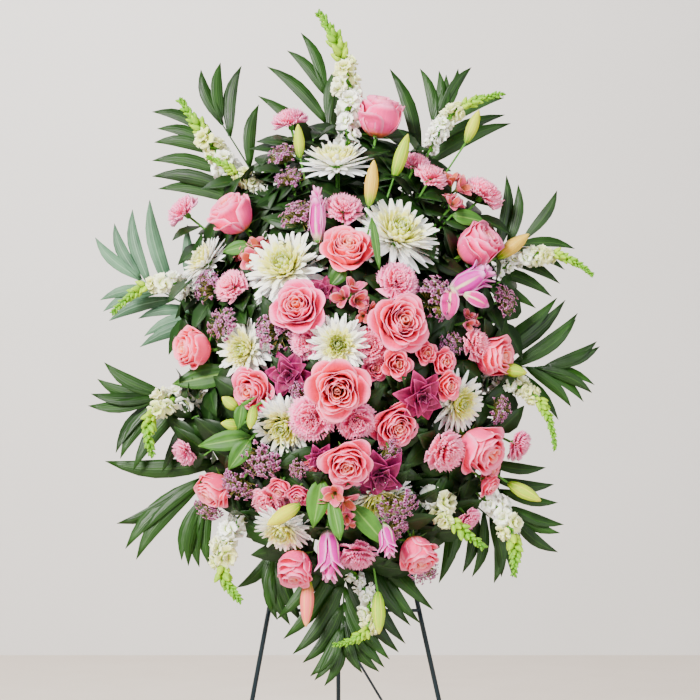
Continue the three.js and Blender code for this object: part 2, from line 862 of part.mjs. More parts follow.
// A broad leaf bulges forward in the middle
function leafPart([footX, footY, tipX, tipY, half, extra]) {
  const foot = [footX, footY];
  const tip = [tipX, tipY];
  const reach = gapOf(foot, tip);
  const across = [((tipY - footY) / reach) * half, ((footX - tipX) / reach) * half];
  const place = (share, width) => {
    const [x, y] = mix(foot, tip, share);
    return [x + across[0] * width, y + across[1] * width];
  };
  const narrow = 1.2 / half;
  const outline = [
    place(-0.25, narrow),
    place(0, narrow),
    place(0.3, 0.9),
    place(0.62, 0.85),
    tip,
    place(0.62, -0.85),
    place(0.3, -0.9),
    place(0, -narrow),
    place(-0.25, -narrow),
  ];
  const level = domeDepth((footX + tipX) / 2, (footY + tipY) / 2) + extra;
  const depthAt = (x, y) => {
    const share = THREE.MathUtils.clamp(gapOf([x, y], foot) / reach, 0, 1);
    return level + 8 * Math.sin(Math.PI * share) - 6 * share;
  };
  const near = place(0.06, 0);
  const middle = place(0.5, 0);
  return {
    foot: spot(near[0], near[1], depthAt(near[0], near[1])),
    centre: spot(middle[0], middle[1], depthAt(middle[0], middle[1])),
    reach: reach * MM_PER_PIXEL * 0.6 + 10,
    shape: (root) => bladeBody(outline, BLADE_THICKNESS, depthAt, root),
    shell: bladeBody(outline, BLADE_THICKNESS + 2 * CLEARANCE, depthAt),
  };
}

// Every bunch gets its parts: heads and buds first, because they keep their place before leaves and fronds
const PLANTS = [...BUNCHES, ...BUD_BUNCHES, ...SPIKE_BUNCHES, ...LEAF_BUNCHES, ...FROND_BUNCHES];
const ORDER = ['heads', 'buds', 'spikes', 'leaves', 'fronds'];
const makePart = {
  heads: (entry, bunch) => headPart(bunch.kind, entry),
  buds: (entry) => budPart(entry),
  spikes: (entry) => spikePart(entry),
  leaves: (entry) => leafPart(entry),
  fronds: (entry) => frondPart(entry),
};
const parts = [];
PLANTS.forEach((bunch) => {
  ORDER.forEach((sort) => {
    (bunch[sort] ?? []).forEach((entry) => {
      parts.push({ bunch: bunch.name, sort, ...makePart[sort](entry, bunch) });
    });
  });
});

// Neighbouring heads give way: the deeper one sinks towards the hub until they are clear
const SINK_STEP = 3;
const SINK_LIMIT = 48;
function insideShell(part, point) {
  const { x, y, z } = point.clone().applyMatrix4(part.inverse);
  const profile = part.profile;
  const above = profile.findIndex((corner, i) => i > 0 && corner.y >= y);
  if (above < 1 || y < profile[0].y) {
    return false;
  }
  const [low, high] = [profile[above - 1], profile[above]];
  const share = (y - low.y) / Math.max(high.y - low.y, 1e-6);
  return Math.hypot(x, z) < low.x + (high.x - low.x) * share;
}
function cornersOf(geometry) {
  const place = geometry.attributes.position;
  return Array.from({ length: place.count }, (_, v) => new THREE.Vector3().fromBufferAttribute(place, v));
}
function touching(one, other) {
  if (one.centre.distanceTo(other.centre) > one.reach + other.reach) {
    return false;
  }
  return (
    cornersOf(one.shape(one.base)).some((point) => insideShell(other, point)) ||
    cornersOf(other.shape(other.base)).some((point) => insideShell(one, point))
  );
}
function settleHeads() {
  const heads = parts.filter((part) => part.profile).sort((one, other) => other.rank - one.rank);
  const settled = [];
  heads.forEach((head) => {
    let push = 0;
    while (push < SINK_LIMIT && settled.some((other) => touching(head, other))) {
      push += SINK_STEP;
      Object.assign(head, head.again(push));
    }
    head.push = push;
    settled.push(head);
  });
  settled.sort((one, other) => other.rank - one.rank);
  settled.forEach((head, i) => {
    head.order = i;
  });
}
settleHeads();

// Stems: three-sided rods. The first part of a bunch has the stem that stands in the foam, and the
// stems of the others branch off it. Each takes the first way that is clear of all the rest.
const STEM_GAP = 0.9;
const HOLE_DEPTH = 18;
const HOLE_RADIUS = 3.9;
const BRANCH_STEP = 4;
const stems = [];

function gapBetween(stem, other) {
  const d1 = stem.to.clone().sub(stem.from);
  const d2 = other.to.clone().sub(other.from);
  const r = stem.from.clone().sub(other.from);
  const [a, e, f, c, b] = [d1.dot(d1), d2.dot(d2), d2.dot(r), d1.dot(r), d1.dot(d2)];
  const spread = a * e - b * b;
  let along = spread > 1e-6 ? THREE.MathUtils.clamp((b * f - c * e) / spread, 0, 1) : 0;
  let beside = (b * along + f) / e;
  if (beside < 0 || beside > 1) {
    beside = THREE.MathUtils.clamp(beside, 0, 1);
    along = THREE.MathUtils.clamp((b * beside - c) / a, 0, 1);
  }
  const one = stem.from.clone().addScaledVector(d1, along);
  const two = other.from.clone().addScaledVector(d2, beside);
  return one.distanceTo(two) - stem.radius - other.radius;
}

function roomRound(stem) {
  const others = stems.filter((other) => other.bunch !== stem.bunch);
  return Math.min(...others.map((other) => gapBetween(stem, other)));
}

// How far a line from the hub runs inside the foam
function foamRun(from, direction) {
  const start = from.clone().sub(HUB);
  const limits = [
    [ACROSS, -FOAM.width / 2, FOAM.width / 2],
    [ALONG, -FOAM.height / 2, FOAM.height / 2],
    [OUTWARD, -FOAM.back, FOAM.front],
  ];
  return Math.min(
    ...limits.map(([axis, low, high]) => {
      const speed = direction.dot(axis);
      const place = start.dot(axis);
      return Math.abs(speed) < 1e-6 ? Infinity : ((speed > 0 ? high : low) - place) / speed;
    }),
  );
}

function nearStem(part, stem) {
  const line = new THREE.Line3(stem.from, stem.to);
  const close = line.closestPointToPoint(part.centre, true, new THREE.Vector3());
  return close.distanceTo(part.centre) < part.reach + stem.radius + 1;
}

// How much of a stem runs through the heads of other bunches
function runThroughHeads(stem) {
  const heads = parts.filter((part) => part.profile && part.bunch !== stem.bunch);
  const length = stem.from.distanceTo(stem.to);
  let run = 0;
  heads
    .filter((head) => nearStem(head, stem))
    .forEach((head) => {
      for (let along = 0; along < length; along += BRANCH_STEP) {
        if (insideShell(head, stem.from.clone().lerp(stem.to, along / length))) {
          run += BRANCH_STEP;
        }
      }
    });
  return run;
}

// Of the ways that keep clear of other stems, the one that crosses the fewest heads
function bestWay(ways) {
  const clear = ways.filter((way) => roomRound(way) > STEM_GAP);
  const runs = clear.map(runThroughHeads);
  if (!clear.length) {
    const rooms = ways.map(roomRound);
    return { ...ways[rooms.indexOf(Math.max(...rooms))], run: 9 };
  }
  const best = runs.indexOf(Math.min(...runs));
  return { ...clear[best], run: runs[best] };
}

function stemEnd(part) {
  return (part.base ?? part.foot).clone();
}

function mainStem(part, aside, along) {
  const aim = HUB.clone().addScaledVector(ACROSS, aside).addScaledVector(ALONG, along);
  const direction = part.foot.clone().sub(aim).normalize();
  const run = foamRun(aim, direction);
  const from = aim.clone().addScaledVector(direction, run - HOLE_DEPTH);
  return { bunch: part.bunch, part, from, to: stemEnd(part), radius: STEM_RADIUS, main: true };
}

const bunchNames = PLANTS.map((bunch) => bunch.name);
const AIM_STEPS = [0, 7, -7, 14, -14, 21, -21, 28, -28];
bunchNames.forEach((name) => {
  const first = parts.find((part) => part.bunch === name);
  const ways = AIM_STEPS.flatMap((along) => AIM_STEPS.map((aside) => mainStem(first, aside, along)));
  stems.push(bestWay(ways));
});
function branchWays(name, part) {
  const ways = [];
  stems
    .filter((stem) => stem.bunch === name)
    .forEach((stem) => {
      const length = stem.from.distanceTo(stem.to);
      const start = stem.main ? HOLE_DEPTH + 8 : 8;
      for (let distance = start; distance < length - 6; distance += BRANCH_STEP) {
        const from = stem.from.clone().lerp(stem.to, distance / length);
        ways.push({ bunch: name, part, from, to: stemEnd(part), radius: STEM_RADIUS, main: false });
      }
    });
  return ways;
}
bunchNames.forEach((name) => {
  parts
    .filter((part) => part.bunch === name)
    .slice(1)
    .forEach((part) => {
      stems.push(bestWay(branchWays(name, part)));
    });
});

function circlePoints(radius, sides, shift = 0) {
  const angles = Array.from({ length: sides }, (_, i) => (2 * Math.PI * (i + shift)) / sides);
  return angles.map((angle) => new THREE.Vector2(radius * Math.cos(angle), radius * Math.sin(angle)));
}

function rodBody(from, to, radius, sides = 3) {
  const length = from.distanceTo(to);
  const direction = to.clone().sub(from).normalize();
  const section = new THREE.Shape(circlePoints(radius, sides));
  const geometry = new THREE.ExtrudeGeometry(section, { depth: length, bevelEnabled: false });
  return closed(geometry.rotateX(-Math.PI / 2)).applyMatrix4(standing(from, direction));
}

// Only the largest piece that a cut leaves is kept
function largestPiece(body) {
  const { vertProperties, triVerts } = body.getMesh();
  const parent = Array.from({ length: vertProperties.length / 3 }, (_, v) => v);
  const top = (v) => {
    while (parent[v] !== v) {
      parent[v] = parent[parent[v]];
      v = parent[v];
    }
    return v;
  };
  for (let i = 0; i < triVerts.length; i += 3) {
    parent[top(triVerts[i])] = top(triVerts[i + 1]);
    parent[top(triVerts[i + 1])] = top(triVerts[i + 2]);
  }
  const corner = (v) => new THREE.Vector3().fromArray(vertProperties, v * 3);
  const volumes = new Map();
  for (let i = 0; i < triVerts.length; i += 3) {
    const key = top(triVerts[i]);
    const volume = corner(triVerts[i]).dot(corner(triVerts[i + 1]).cross(corner(triVerts[i + 2])));
    volumes.set(key, (volumes.get(key) ?? 0) + volume);
  }
  const larger = (one, other) => (volumes.get(other) > volumes.get(one) ? other : one);
  const best = [...volumes.keys()].reduce(larger);
  const kept = [];
  for (let i = 0; i < triVerts.length; i += 3) {
    if (top(triVerts[i]) === best) {
      kept.push(triVerts[i], triVerts[i + 1], triVerts[i + 2]);
    }
  }
  const geometry = new THREE.BufferGeometry();
  geometry.setAttribute('position', new THREE.BufferAttribute(vertProperties, 3));
  geometry.setIndex(kept);
  const total = [...volumes.values()].reduce((sum, v) => sum + v, 0);
  return { geometry: geometry.toNonIndexed(), share: volumes.get(best) / total };
}

// A part gives way to the stems of other bunches, and to what stands before it in order
function cutPart(part, shells) {
  const stem = stems.find((way) => way.part === part);
  const body = cutBody(part, stem, shells);
  if (!stem.apart && largestPiece(body).share < 0.98) {
    stem.apart = true;
    stem.to = part.core ?? stem.to;
  }
  return body;
}
// The first passes find the parts that a stem cuts off from their own: those get their stem as a rod
const CUT_PASSES = 3;
const STUB = 0.3;
function cutBody(part, stem, shells) {
  const start = part.base ?? part.foot;
  const stub = stem.from.clone().sub(start).setLength(STUB).add(start);
  let body = solid(part.shape(stem.apart ? stub : stem.from));
  stems
    .filter((stem) => stem.bunch !== part.bunch && nearStem(part, stem))
    .forEach((stem) => {
      const way = stem.apart
        ? rodBody(stem.from, stem.to, stem.radius + 2 * CLEARANCE)
        : rodBody(stem.from, stem.to, HOLE_RADIUS, 4);
      body = body.subtract(solid(way));
    });
  shells
    .filter((other) => other.bunch !== part.bunch)
    .filter((other) => other.centre.distanceTo(part.centre) < other.reach + part.reach)
    .forEach((other) => {
      body = body.subtract(solid(other.shell));
    });
  return body;
}

const sequence = [
  ...parts.filter((part) => part.profile).sort((one, other) => one.order - other.order),
  ...parts.filter((part) => part.sort === 'spikes'),
  ...parts.filter((part) => part.sort === 'leaves'),
  ...parts.filter((part) => part.sort === 'fronds'),
];
stems.forEach((stem) => {
  stem.apart = stem.run > 0 || (stem.main && !stem.part.base);
  stem.to = stem.apart && stem.part.core ? stem.part.core : stem.to;
});
for (let pass = 0; pass < CUT_PASSES; pass += 1) {
  sequence.forEach((part, i) => {
    part.body = cutPart(part, sequence.slice(0, i));
  });
}

const spray = new THREE.Group();

// A solid becomes a named mesh of the spray, and only its largest piece is kept
function addNode(name, body, colour, roughness, metalness = 0) {
  const material = new THREE.MeshStandardMaterial({ color: colour, roughness, metalness });
  const mesh = new THREE.Mesh(largestPiece(body).geometry, material);
  mesh.name = name;
  spray.add(mesh);
}

// A bunch is its parts, each of which carries its own stem or has it as a rod beside it
PLANTS.forEach((bunch) => {
  const bodies = stems
    .filter((stem) => stem.bunch === bunch.name)
    .flatMap((stem) => {
      const rod = stem.apart ? [solid(rodBody(stem.from, stem.to, stem.radius))] : [];
      return [stem.part.body, ...rod];
    });
  addNode(bunch.name, bodies.reduce((one, other) => one.add(other)), bunch.colour ?? CREAM, 0.7);
});

// A box whose sides lie along the easel's lean, given by its limits beside, up and out of the hub
function leaningBox([aside, low, back], [otherSide, high, front]) {
  const geometry = closed(new THREE.BoxGeometry(otherSide - aside, front - back, high - low));
  const middle = HUB.clone()
    .addScaledVector(ACROSS, (aside + otherSide) / 2)
    .addScaledVector(ALONG, (low + high) / 2)
    .addScaledVector(OUTWARD, (back + front) / 2);
  const turn = new THREE.Matrix4().makeRotationX(-EASEL_LEAN);
  return solid(geometry.applyMatrix4(turn.setPosition(middle)));
}

// Foam block with a plain hole for every stem that stands in it, and a groove for a branch that grazes it
const HOLE_END = 0.4;
const HOLE_BEYOND = 14;
const CROSSING_STEPS = 40;
function crossesFoam(stem) {
  const shares = Array.from({ length: CROSSING_STEPS + 1 }, (_, i) => i / CROSSING_STEPS);
  const places = shares.map((share) => stem.from.clone().lerp(stem.to, share).sub(HUB));
  return places.some((place) => {
    const [aside, up, out] = [ACROSS, ALONG, OUTWARD].map((axis) => place.dot(axis));
    const besideIt = Math.abs(aside) > FOAM.width / 2 + STEM_RADIUS;
    const beyondIt = Math.abs(up) > FOAM.height / 2 + STEM_RADIUS;
    return !besideIt && !beyondIt && out > -FOAM.back && out < FOAM.front + STEM_RADIUS;
  });
}
function foamBlock() {
  const half = FOAM.width / 2;
  let body = leaningBox([-half, -FOAM.height / 2, -FOAM.back], [half, FOAM.height / 2, FOAM.front]);
  stems.filter(crossesFoam).forEach((stem) => {
    const direction = stem.to.clone().sub(stem.from).normalize();
    const from = stem.from.clone().addScaledVector(direction, -HOLE_END);
    const to = stem.from.clone().addScaledVector(direction, HOLE_DEPTH + HOLE_BEYOND);
    body = body.subtract(solid(rodBody(from, stem.main ? to : stem.to, HOLE_RADIUS, 4)));
  });
  return body;
}

// Tray behind the foam, with two hooks that hang on the upper cross wire
const TRAY = { back: 34, floor: 3.6, wall: 3, wallTop: -14, hookWide: 8, hookThick: 3 };
const HOOK_PLACES = [-34, 14];
const WIRE_BACK = 39.7;
const CROSS_RADIUS = 2.5;
const UPPER_WIRE_UP = -58;
function foamTray() {
  const gap = CLEARANCE;
  const [wide, tall] = [FOAM.width / 2 + gap, FOAM.height / 2 + gap];
  const outer = [wide + TRAY.wall, tall + TRAY.wall];
  let body = leaningBox([-outer[0], -outer[1], -TRAY.back], [outer[0], outer[1], TRAY.wallTop]);
  body = body.subtract(leaningBox([-wide, -tall, -FOAM.back - gap], [wide, tall, 0]));
  HOOK_PLACES.forEach((aside) => {
    const over = UPPER_WIRE_UP + CROSS_RADIUS + gap;
    const behind = -WIRE_BACK - CROSS_RADIUS - gap;
    const arm = leaningBox(
      [aside, over, behind - TRAY.hookThick],
      [aside + TRAY.hookWide, over + TRAY.hookThick, -TRAY.back + 1],
    );
    const tongue = leaningBox(
      [aside, over - 2 * TRAY.hookWide, behind - TRAY.hookThick],
      [aside + TRAY.hookWide, over + 1, behind],
    );
    body = body.add(arm).add(tongue);
  });
  return body;
}

// Where the plane of the two front legs is at a height, in front of or behind it by out
function onLegPlane(x, z, out = 0) {
  const start = HUB.clone().addScaledVector(OUTWARD, LEG_PLANE);
  const y = start.y + (z - start.z) * Math.tan(EASEL_LEAN);
  return new THREE.Vector3(x, y, z).addScaledVector(OUTWARD, out);
}

// What lies below the floor is cut away, which leaves a flat face under each foot
function standOnFloor(body) {
  const ground = new THREE.BoxGeometry(1000, 1000, 100).translate(0, 0, -50);
  return body.subtract(solid(closed(ground)));
}

// Front legs, from beyond the floor up into the bracket
const LEG_SIDES = 8;
const WIRE_SIDES = 6;
const BELOW_FLOOR = 12;
const LEG_TOP = 1206;
const FEET = { left: -238, right: 265, rear: 316 };
const LEG_TOPS = { left: APEX.x - 8, right: APEX.x + 8 };
function legLine(side) {
  const top = onLegPlane(LEG_TOPS[side], LEG_TOP);
  const foot = onLegPlane(FEET[side], 0);
  const below = foot.clone().sub(top).setLength(BELOW_FLOOR);
  return { top, foot, end: foot.clone().add(below) };
}
function legAt(side, z) {
  const { top, foot } = legLine(side);
  return foot.clone().lerp(top, z / LEG_TOP);
}
function frontLeg(side) {
  const { top, end } = legLine(side);
  return standOnFloor(solid(rodBody(end, top, LEG_RADIUS, LEG_SIDES)));
}

// The brace turns on a stud that stands out of the right leg, between the leg and the stud's head
const STUD = { height: 375, radius: 2.8, reach: 14, head: 5, headThick: 2 };
const studCentre = legAt('right', STUD.height);
function braceStud() {
  const leg = studCentre;
  const tip = leg.clone().addScaledVector(ACROSS, -STUD.reach);
  const shaft = rodBody(leg, tip, STUD.radius, LEG_SIDES);
  const head = rodBody(tip, tip.clone().addScaledVector(ACROSS, -STUD.headThick), STUD.head, LEG_SIDES);
  return solid(shaft).add(solid(head));
}

// Cross wires: the upper one is straight, the ends of the lower one are bent along the legs
const WELD_GAP = LEG_PLANE + WIRE_BACK;
const LOWER_WIRE_HEIGHT = 693;
const WELD_LENGTH = 30;
function crossWireUpper() {
  const height = HUB.z + UPPER_WIRE_UP * Math.cos(EASEL_LEAN) + LEG_PLANE * Math.sin(EASEL_LEAN);
  const ends = ['left', 'right'].map((side) => legAt(side, height).addScaledVector(OUTWARD, -WELD_GAP));
  return solid(rodBody(ends[0], ends[1], CROSS_RADIUS, WIRE_SIDES));
}
function crossWireLower() {
  const front = (side, z) => legAt(side, z).addScaledVector(OUTWARD, -WELD_GAP);
  const [left, right] = ['left', 'right'].map((side) => front(side, LOWER_WIRE_HEIGHT));
  const [leftEnd, rightEnd] = ['left', 'right'].map((side) => front(side, LOWER_WIRE_HEIGHT - WELD_LENGTH));
  const rods = [
    rodBody(left, leftEnd, CROSS_RADIUS, WIRE_SIDES),
    rodBody(right, rightEnd, CROSS_RADIUS, WIRE_SIDES),
    rodBody(left, right, CROSS_RADIUS, WIRE_SIDES),
  ];
  return rods.map(solid).reduce((one, other) => one.add(other));
}

// The bracket holds the tops of the front legs in sockets and the rear leg on a pin between two ears
const BRACKET = { wide: 34, low: 24, high: 8, thick: 13 };
const PIN = { back: 15.5, radius: 3, hole: 3.7, ring: 7.6 };
const EAR = { inner: 4.4, outer: 8.4, round: 6 };
const PIN_CENTRE = onLegPlane(APEX.x, LEG_TOP, -PIN.back);
function apexBracket() {
  const up = (LEG_TOP - HUB.z - LEG_PLANE * Math.sin(EASEL_LEAN)) / Math.cos(EASEL_LEAN);
  const middle = APEX.x - HUB.x;
  const half = BRACKET.thick / 2;
  const block = leaningBox(
    [middle - BRACKET.wide / 2, up - BRACKET.low, LEG_PLANE - half],
    [middle + BRACKET.wide / 2, up + BRACKET.high, LEG_PLANE + half],
  );
  const ears = [-1, 1].map((side) => {
    const [near, far] = [middle + side * EAR.inner, middle + side * EAR.outer];
    return leaningBox(
      [Math.min(near, far), up - EAR.round, LEG_PLANE - PIN.back - EAR.round],
      [Math.max(near, far), up + EAR.round, LEG_PLANE - half + 1],
    );
  });
  const pin = rodBody(
    PIN_CENTRE.clone().addScaledVector(ACROSS, -EAR.outer + 0.5),
    PIN_CENTRE.clone().addScaledVector(ACROSS, EAR.outer - 0.5),
    PIN.radius,
    LEG_SIDES,
  );
  const sockets = ['left', 'right'].map((side) => {
    const { top, end } = legLine(side);
    const beyond = top.clone().sub(end).setLength(CLEARANCE);
    return solid(rodBody(end, top.clone().add(beyond), LEG_RADIUS + CLEARANCE, LEG_SIDES));
  });
  const holder = ears.reduce((body, ear) => body.add(ear), block).add(solid(pin));
  return sockets.reduce((body, socket) => body.subtract(socket), holder);
}

// A flat ring round a line along X
function ringBody(centre, radius, hole, width) {
  const section = new THREE.Shape(circlePoints(radius, LEG_SIDES, 0.5));
  section.holes.push(new THREE.Path(circlePoints(hole, LEG_SIDES, 0.5)));
  const geometry = closed(new THREE.ExtrudeGeometry(section, { depth: width, bevelEnabled: false }));
  geometry.rotateY(Math.PI / 2).translate(centre.x - width / 2, centre.y, centre.z);
  return solid(geometry);
}

// The rear leg hangs from the pin by its ring
const REAR_FOOT = new THREE.Vector3(APEX.x, FEET.rear, 0);
function rearAt(z) {
  return REAR_FOOT.clone().lerp(PIN_CENTRE, z / PIN_CENTRE.z);
}
function rearLeg() {
  const down = REAR_FOOT.clone().sub(PIN_CENTRE).normalize();
  const start = PIN_CENTRE.clone().addScaledVector(down, (PIN.hole + PIN.ring) / 2);
  const end = REAR_FOOT.clone().addScaledVector(down, BELOW_FLOOR);
  const ring = ringBody(PIN_CENTRE, PIN.ring, PIN.hole, 2 * (EAR.inner - CLEARANCE));
  return standOnFloor(solid(rodBody(start, end, LEG_RADIUS, LEG_SIDES)).add(ring));
}

// The brace runs from the stud to the rear leg, passes on its right and hooks round the back of it
const HOOK_HEIGHT = 620;
const BRACE_RING = { radius: 7, hole: 3.5, width: 4 };
const HOOK_RADIUS = LEG_RADIUS + WIRE_RADIUS + 0.9;
const HOOK_TURN = Math.PI * 1.1;
const HOOK_STEPS = 8;
const HOOK_EARLY = 0.1;
function brace() {
  const pivot = studCentre.clone().addScaledVector(ACROSS, -STUD.reach + BRACE_RING.width / 2 + CLEARANCE);
  const leg = rearAt(HOOK_HEIGHT);
  const back = new THREE.Vector3(0, leg.y - pivot.y, leg.z - pivot.z).normalize();
  const bend = leg.clone().addScaledVector(ACROSS, HOOK_RADIUS);
  const start = pivot.clone().addScaledVector(back, (BRACE_RING.radius + BRACE_RING.hole) / 2);
  const round = Array.from({ length: HOOK_STEPS + 1 }, (_, i) => {
    const angle = (HOOK_TURN * i) / HOOK_STEPS - HOOK_EARLY;
    return leg.clone()
      .addScaledVector(ACROSS, HOOK_RADIUS * Math.cos(angle))
      .addScaledVector(back, HOOK_RADIUS * Math.sin(angle));
  });
  const hook = closed(
    new THREE.ExtrudeGeometry(new THREE.Shape(circlePoints(WIRE_RADIUS, WIRE_SIDES)), {
      steps: HOOK_STEPS,
      extrudePath: new THREE.CatmullRomCurve3(round),
      bevelEnabled: false,
    }),
  );
  const ring = ringBody(pivot, BRACE_RING.radius, BRACE_RING.hole, BRACE_RING.width);
  return solid(rodBody(start, bend, WIRE_RADIUS, WIRE_SIDES)).add(solid(hook)).add(ring);
}

addNode('foam_block', foamBlock(), FOAM_GREEN, 0.95);
addNode('foam_tray', foamTray(), CAGE_GREEN, 0.6);
addNode('front_leg_left', frontLeg('left'), EASEL_GREEN, 0.45, 0.3);
addNode('front_leg_right', frontLeg('right').add(braceStud()), EASEL_GREEN, 0.45, 0.3);
addNode('cross_wire_upper', crossWireUpper(), EASEL_GREEN, 0.45, 0.3);
addNode('cross_wire_lower', crossWireLower(), EASEL_GREEN, 0.45, 0.3);
addNode('apex_bracket', apexBracket(), EASEL_GREEN, 0.45, 0.3);
addNode('rear_leg', rearLeg(), EASEL_GREEN, 0.45, 0.3);
addNode('brace', brace(), EASEL_GREEN, 0.45, 0.3);

export default spray;
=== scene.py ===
# Looks of the standing funeral spray: petals, leaves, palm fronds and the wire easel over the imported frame.
# Metres, +Z up, front towards -Y.

import math
import random

import bmesh
import bpy
from mathutils import Matrix, Quaternion, Vector, kdtree


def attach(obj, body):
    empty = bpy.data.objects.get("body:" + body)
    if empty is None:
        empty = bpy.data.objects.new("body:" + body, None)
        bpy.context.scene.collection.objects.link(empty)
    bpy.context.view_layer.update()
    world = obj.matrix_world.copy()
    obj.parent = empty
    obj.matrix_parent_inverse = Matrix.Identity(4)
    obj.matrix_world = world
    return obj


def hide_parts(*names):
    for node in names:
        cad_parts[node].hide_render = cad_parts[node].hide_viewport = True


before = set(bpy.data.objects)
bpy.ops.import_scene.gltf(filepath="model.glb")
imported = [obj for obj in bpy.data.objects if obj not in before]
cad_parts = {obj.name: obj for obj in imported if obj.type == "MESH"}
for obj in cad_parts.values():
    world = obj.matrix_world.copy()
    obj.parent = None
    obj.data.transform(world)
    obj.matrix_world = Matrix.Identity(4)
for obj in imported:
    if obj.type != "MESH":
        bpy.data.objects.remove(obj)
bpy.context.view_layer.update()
chance = random.Random(7)

# Sizes, as in the part's source
MM = 0.001
PIXEL = 1.5 * MM
VIEW_SIZE = 700
VIEW_CENTRE = VIEW_SIZE / 2
VIEW_DISTANCE = 3.0
VIEW_ASIDE = 0.015
LEAN = 0.2
HUB = Vector((-0.006, -0.08, 1.08))
ACROSS = Vector((1, 0, 0))
ALONG = Vector((0, math.sin(LEAN), math.cos(LEAN)))
OUTWARD = Vector((0, -math.cos(LEAN), math.sin(LEAN)))
EYE = HUB + Vector((VIEW_ASIDE, -VIEW_DISTANCE, 0))
SPRAY_CENTRE = (346, 350)
SPRAY_HALF = (185, 245)
DOME_RIM = 0.042
DOME_RISE = 0.15
FACING = 0.06
SINK_STEP = 3 * MM
SINK_LIMIT = 48 * MM
SINK_SHOWN = 0.55
FOAM = {"width": 0.114, "height": 0.23, "front": 0.05, "back": 0.03}
STEM_RADIUS = 2.0 * MM
STEM_DEPTH = 18 * MM
MAIN_BODY = "spray_and_front_frame"


# The view that the places are measured in
def spot(x, y, depth):
    """Where a pixel's line of sight meets the layer that lies depth in front of the hub."""
    sight = Vector(((x - VIEW_CENTRE) * PIXEL, VIEW_DISTANCE, (VIEW_CENTRE - y) * PIXEL))
    gap = HUB + OUTWARD * depth - EYE
    return EYE + sight * (gap.dot(OUTWARD) / sight.dot(OUTWARD))


def dome_depth(x, y):
    across = (x - SPRAY_CENTRE[0]) / SPRAY_HALF[0]
    along = (y - SPRAY_CENTRE[1]) / SPRAY_HALF[1]
    return DOME_RIM + DOME_RISE * max(0, 1 - across * across - along * along)


def cone_depth(x, y, slope):
    return slope * PIXEL * math.hypot(x - SPRAY_CENTRE[0], y - SPRAY_CENTRE[1])


# Node building for materials
def shader(tree, kind, inputs=None, **settings):
    made = tree.nodes.new(kind)
    for name, value in settings.items():
        setattr(made, name, value)
    for socket, value in (inputs or {}).items():
        if isinstance(value, bpy.types.NodeSocket):
            tree.links.new(value, made.inputs[socket])
        else:
            made.inputs[socket].default_value = value
    return made


def math_node(tree, operation, one, other=0.0):
    made = shader(tree, "ShaderNodeMath", {0: one, 1: other}, operation=operation)
    return made.outputs[0]


def times(tree, one, other):
    return math_node(tree, "MULTIPLY", one, other)


def plus(tree, one, other):
    return math_node(tree, "ADD", one, other)


def opposite(tree, value):
    """1 where the value is 0, and 0 where it is 1."""
    return math_node(tree, "SUBTRACT", 1.0, value)


def attribute(tree, name):
    return shader(tree, "ShaderNodeAttribute", attribute_name=name).outputs["Fac"]


def rise(tree, value, low, high):
    """A smooth step from 0 to 1."""
    made = shader(
        tree,
        "ShaderNodeMapRange",
        {"Value": value, "From Min": low, "From Max": high},
        interpolation_type="SMOOTHSTEP",
    )
    return made.outputs["Result"]


def blend(tree, share, one, other):
    made = shader(tree, "ShaderNodeMix", {0: share, 6: one, 7: other}, data_type="RGBA")
    return made.outputs[2]


def colour(text):
    """A screen colour such as e98a96 in the linear values that the nodes use."""
    parts = [int(text[i : i + 2], 16) / 255 for i in (0, 2, 4)]
    linear = [p / 12.92 if p <= 0.04045 else ((p + 0.055) / 1.055) ** 2.4 for p in parts]
    return (*linear, 1)


def new_group(name, inputs, output):
    group = bpy.data.node_groups.new(name, "ShaderNodeTree")
    for socket, value in inputs.items():
        made = group.interface.new_socket(name=socket, in_out="INPUT", socket_type="NodeSocketFloat")
        made.default_value = value
    group.interface.new_socket(name=output, in_out="OUTPUT", socket_type="NodeSocketFloat")
    return group, group.nodes.new("NodeGroupInput").outputs, group.nodes.new("NodeGroupOutput").inputs


def place_group(tree, group, inputs):
    """Puts a shared effect into a material with values of its own."""
    return shader(tree, "ShaderNodeGroup", inputs, node_tree=group).outputs["Value"]


# How far a petal's tone moves its streaks, so that no two petals have the same ones
TONE_SHIFT = 31.0
STREAK_DETAIL = 2.0
MOTTLE_DETAIL = 4.0


def streak_group():
    """Fine lines that run from the foot of a petal or leaf to its tip."""
    inputs = {"Across": 0.0, "Along": 0.0, "Tone": 0.0, "Lines": 8.0}
    group, given, result = new_group("petal_streaks", inputs, "Value")
    side = times(group, given["Across"], given["Lines"])
    shift = times(group, given["Tone"], TONE_SHIFT)
    place = shader(group, "ShaderNodeCombineXYZ", {"X": side, "Y": given["Along"], "Z": shift})
    lines = shader(
        group,
        "ShaderNodeTexNoise",
        {"Vector": place.outputs[0], "Scale": 1.0, "Detail": STREAK_DETAIL},
    )
    group.links.new(lines.outputs["Fac"], result["Value"])
    return group


def mottle_group():
    """Soft patches a few millimetres to some centimetres wide."""
    inputs = {"Scale": 60.0, "Low": 0.3, "High": 0.7}
    group, given, result = new_group("soft_mottle", inputs, "Value")
    place = shader(group, "ShaderNodeTexCoord")
    noise = shader(
        group,
        "ShaderNodeTexNoise",
        {"Vector": place.outputs["Object"], "Scale": given["Scale"], "Detail": MOTTLE_DETAIL},
    )
    step = shader(
        group,
        "ShaderNodeMapRange",
        {"Value": noise.outputs["Fac"], "From Min": given["Low"], "From Max": given["High"]},
    )
    group.links.new(step.outputs["Result"], result["Value"])
    return group


STREAKS = streak_group()
MOTTLE = mottle_group()


def new_material(name):
    material = bpy.data.materials.new(name)
    material.use_nodes = True
    tree = material.node_tree
    surface = tree.nodes["Principled BSDF"]
    return material, tree, surface


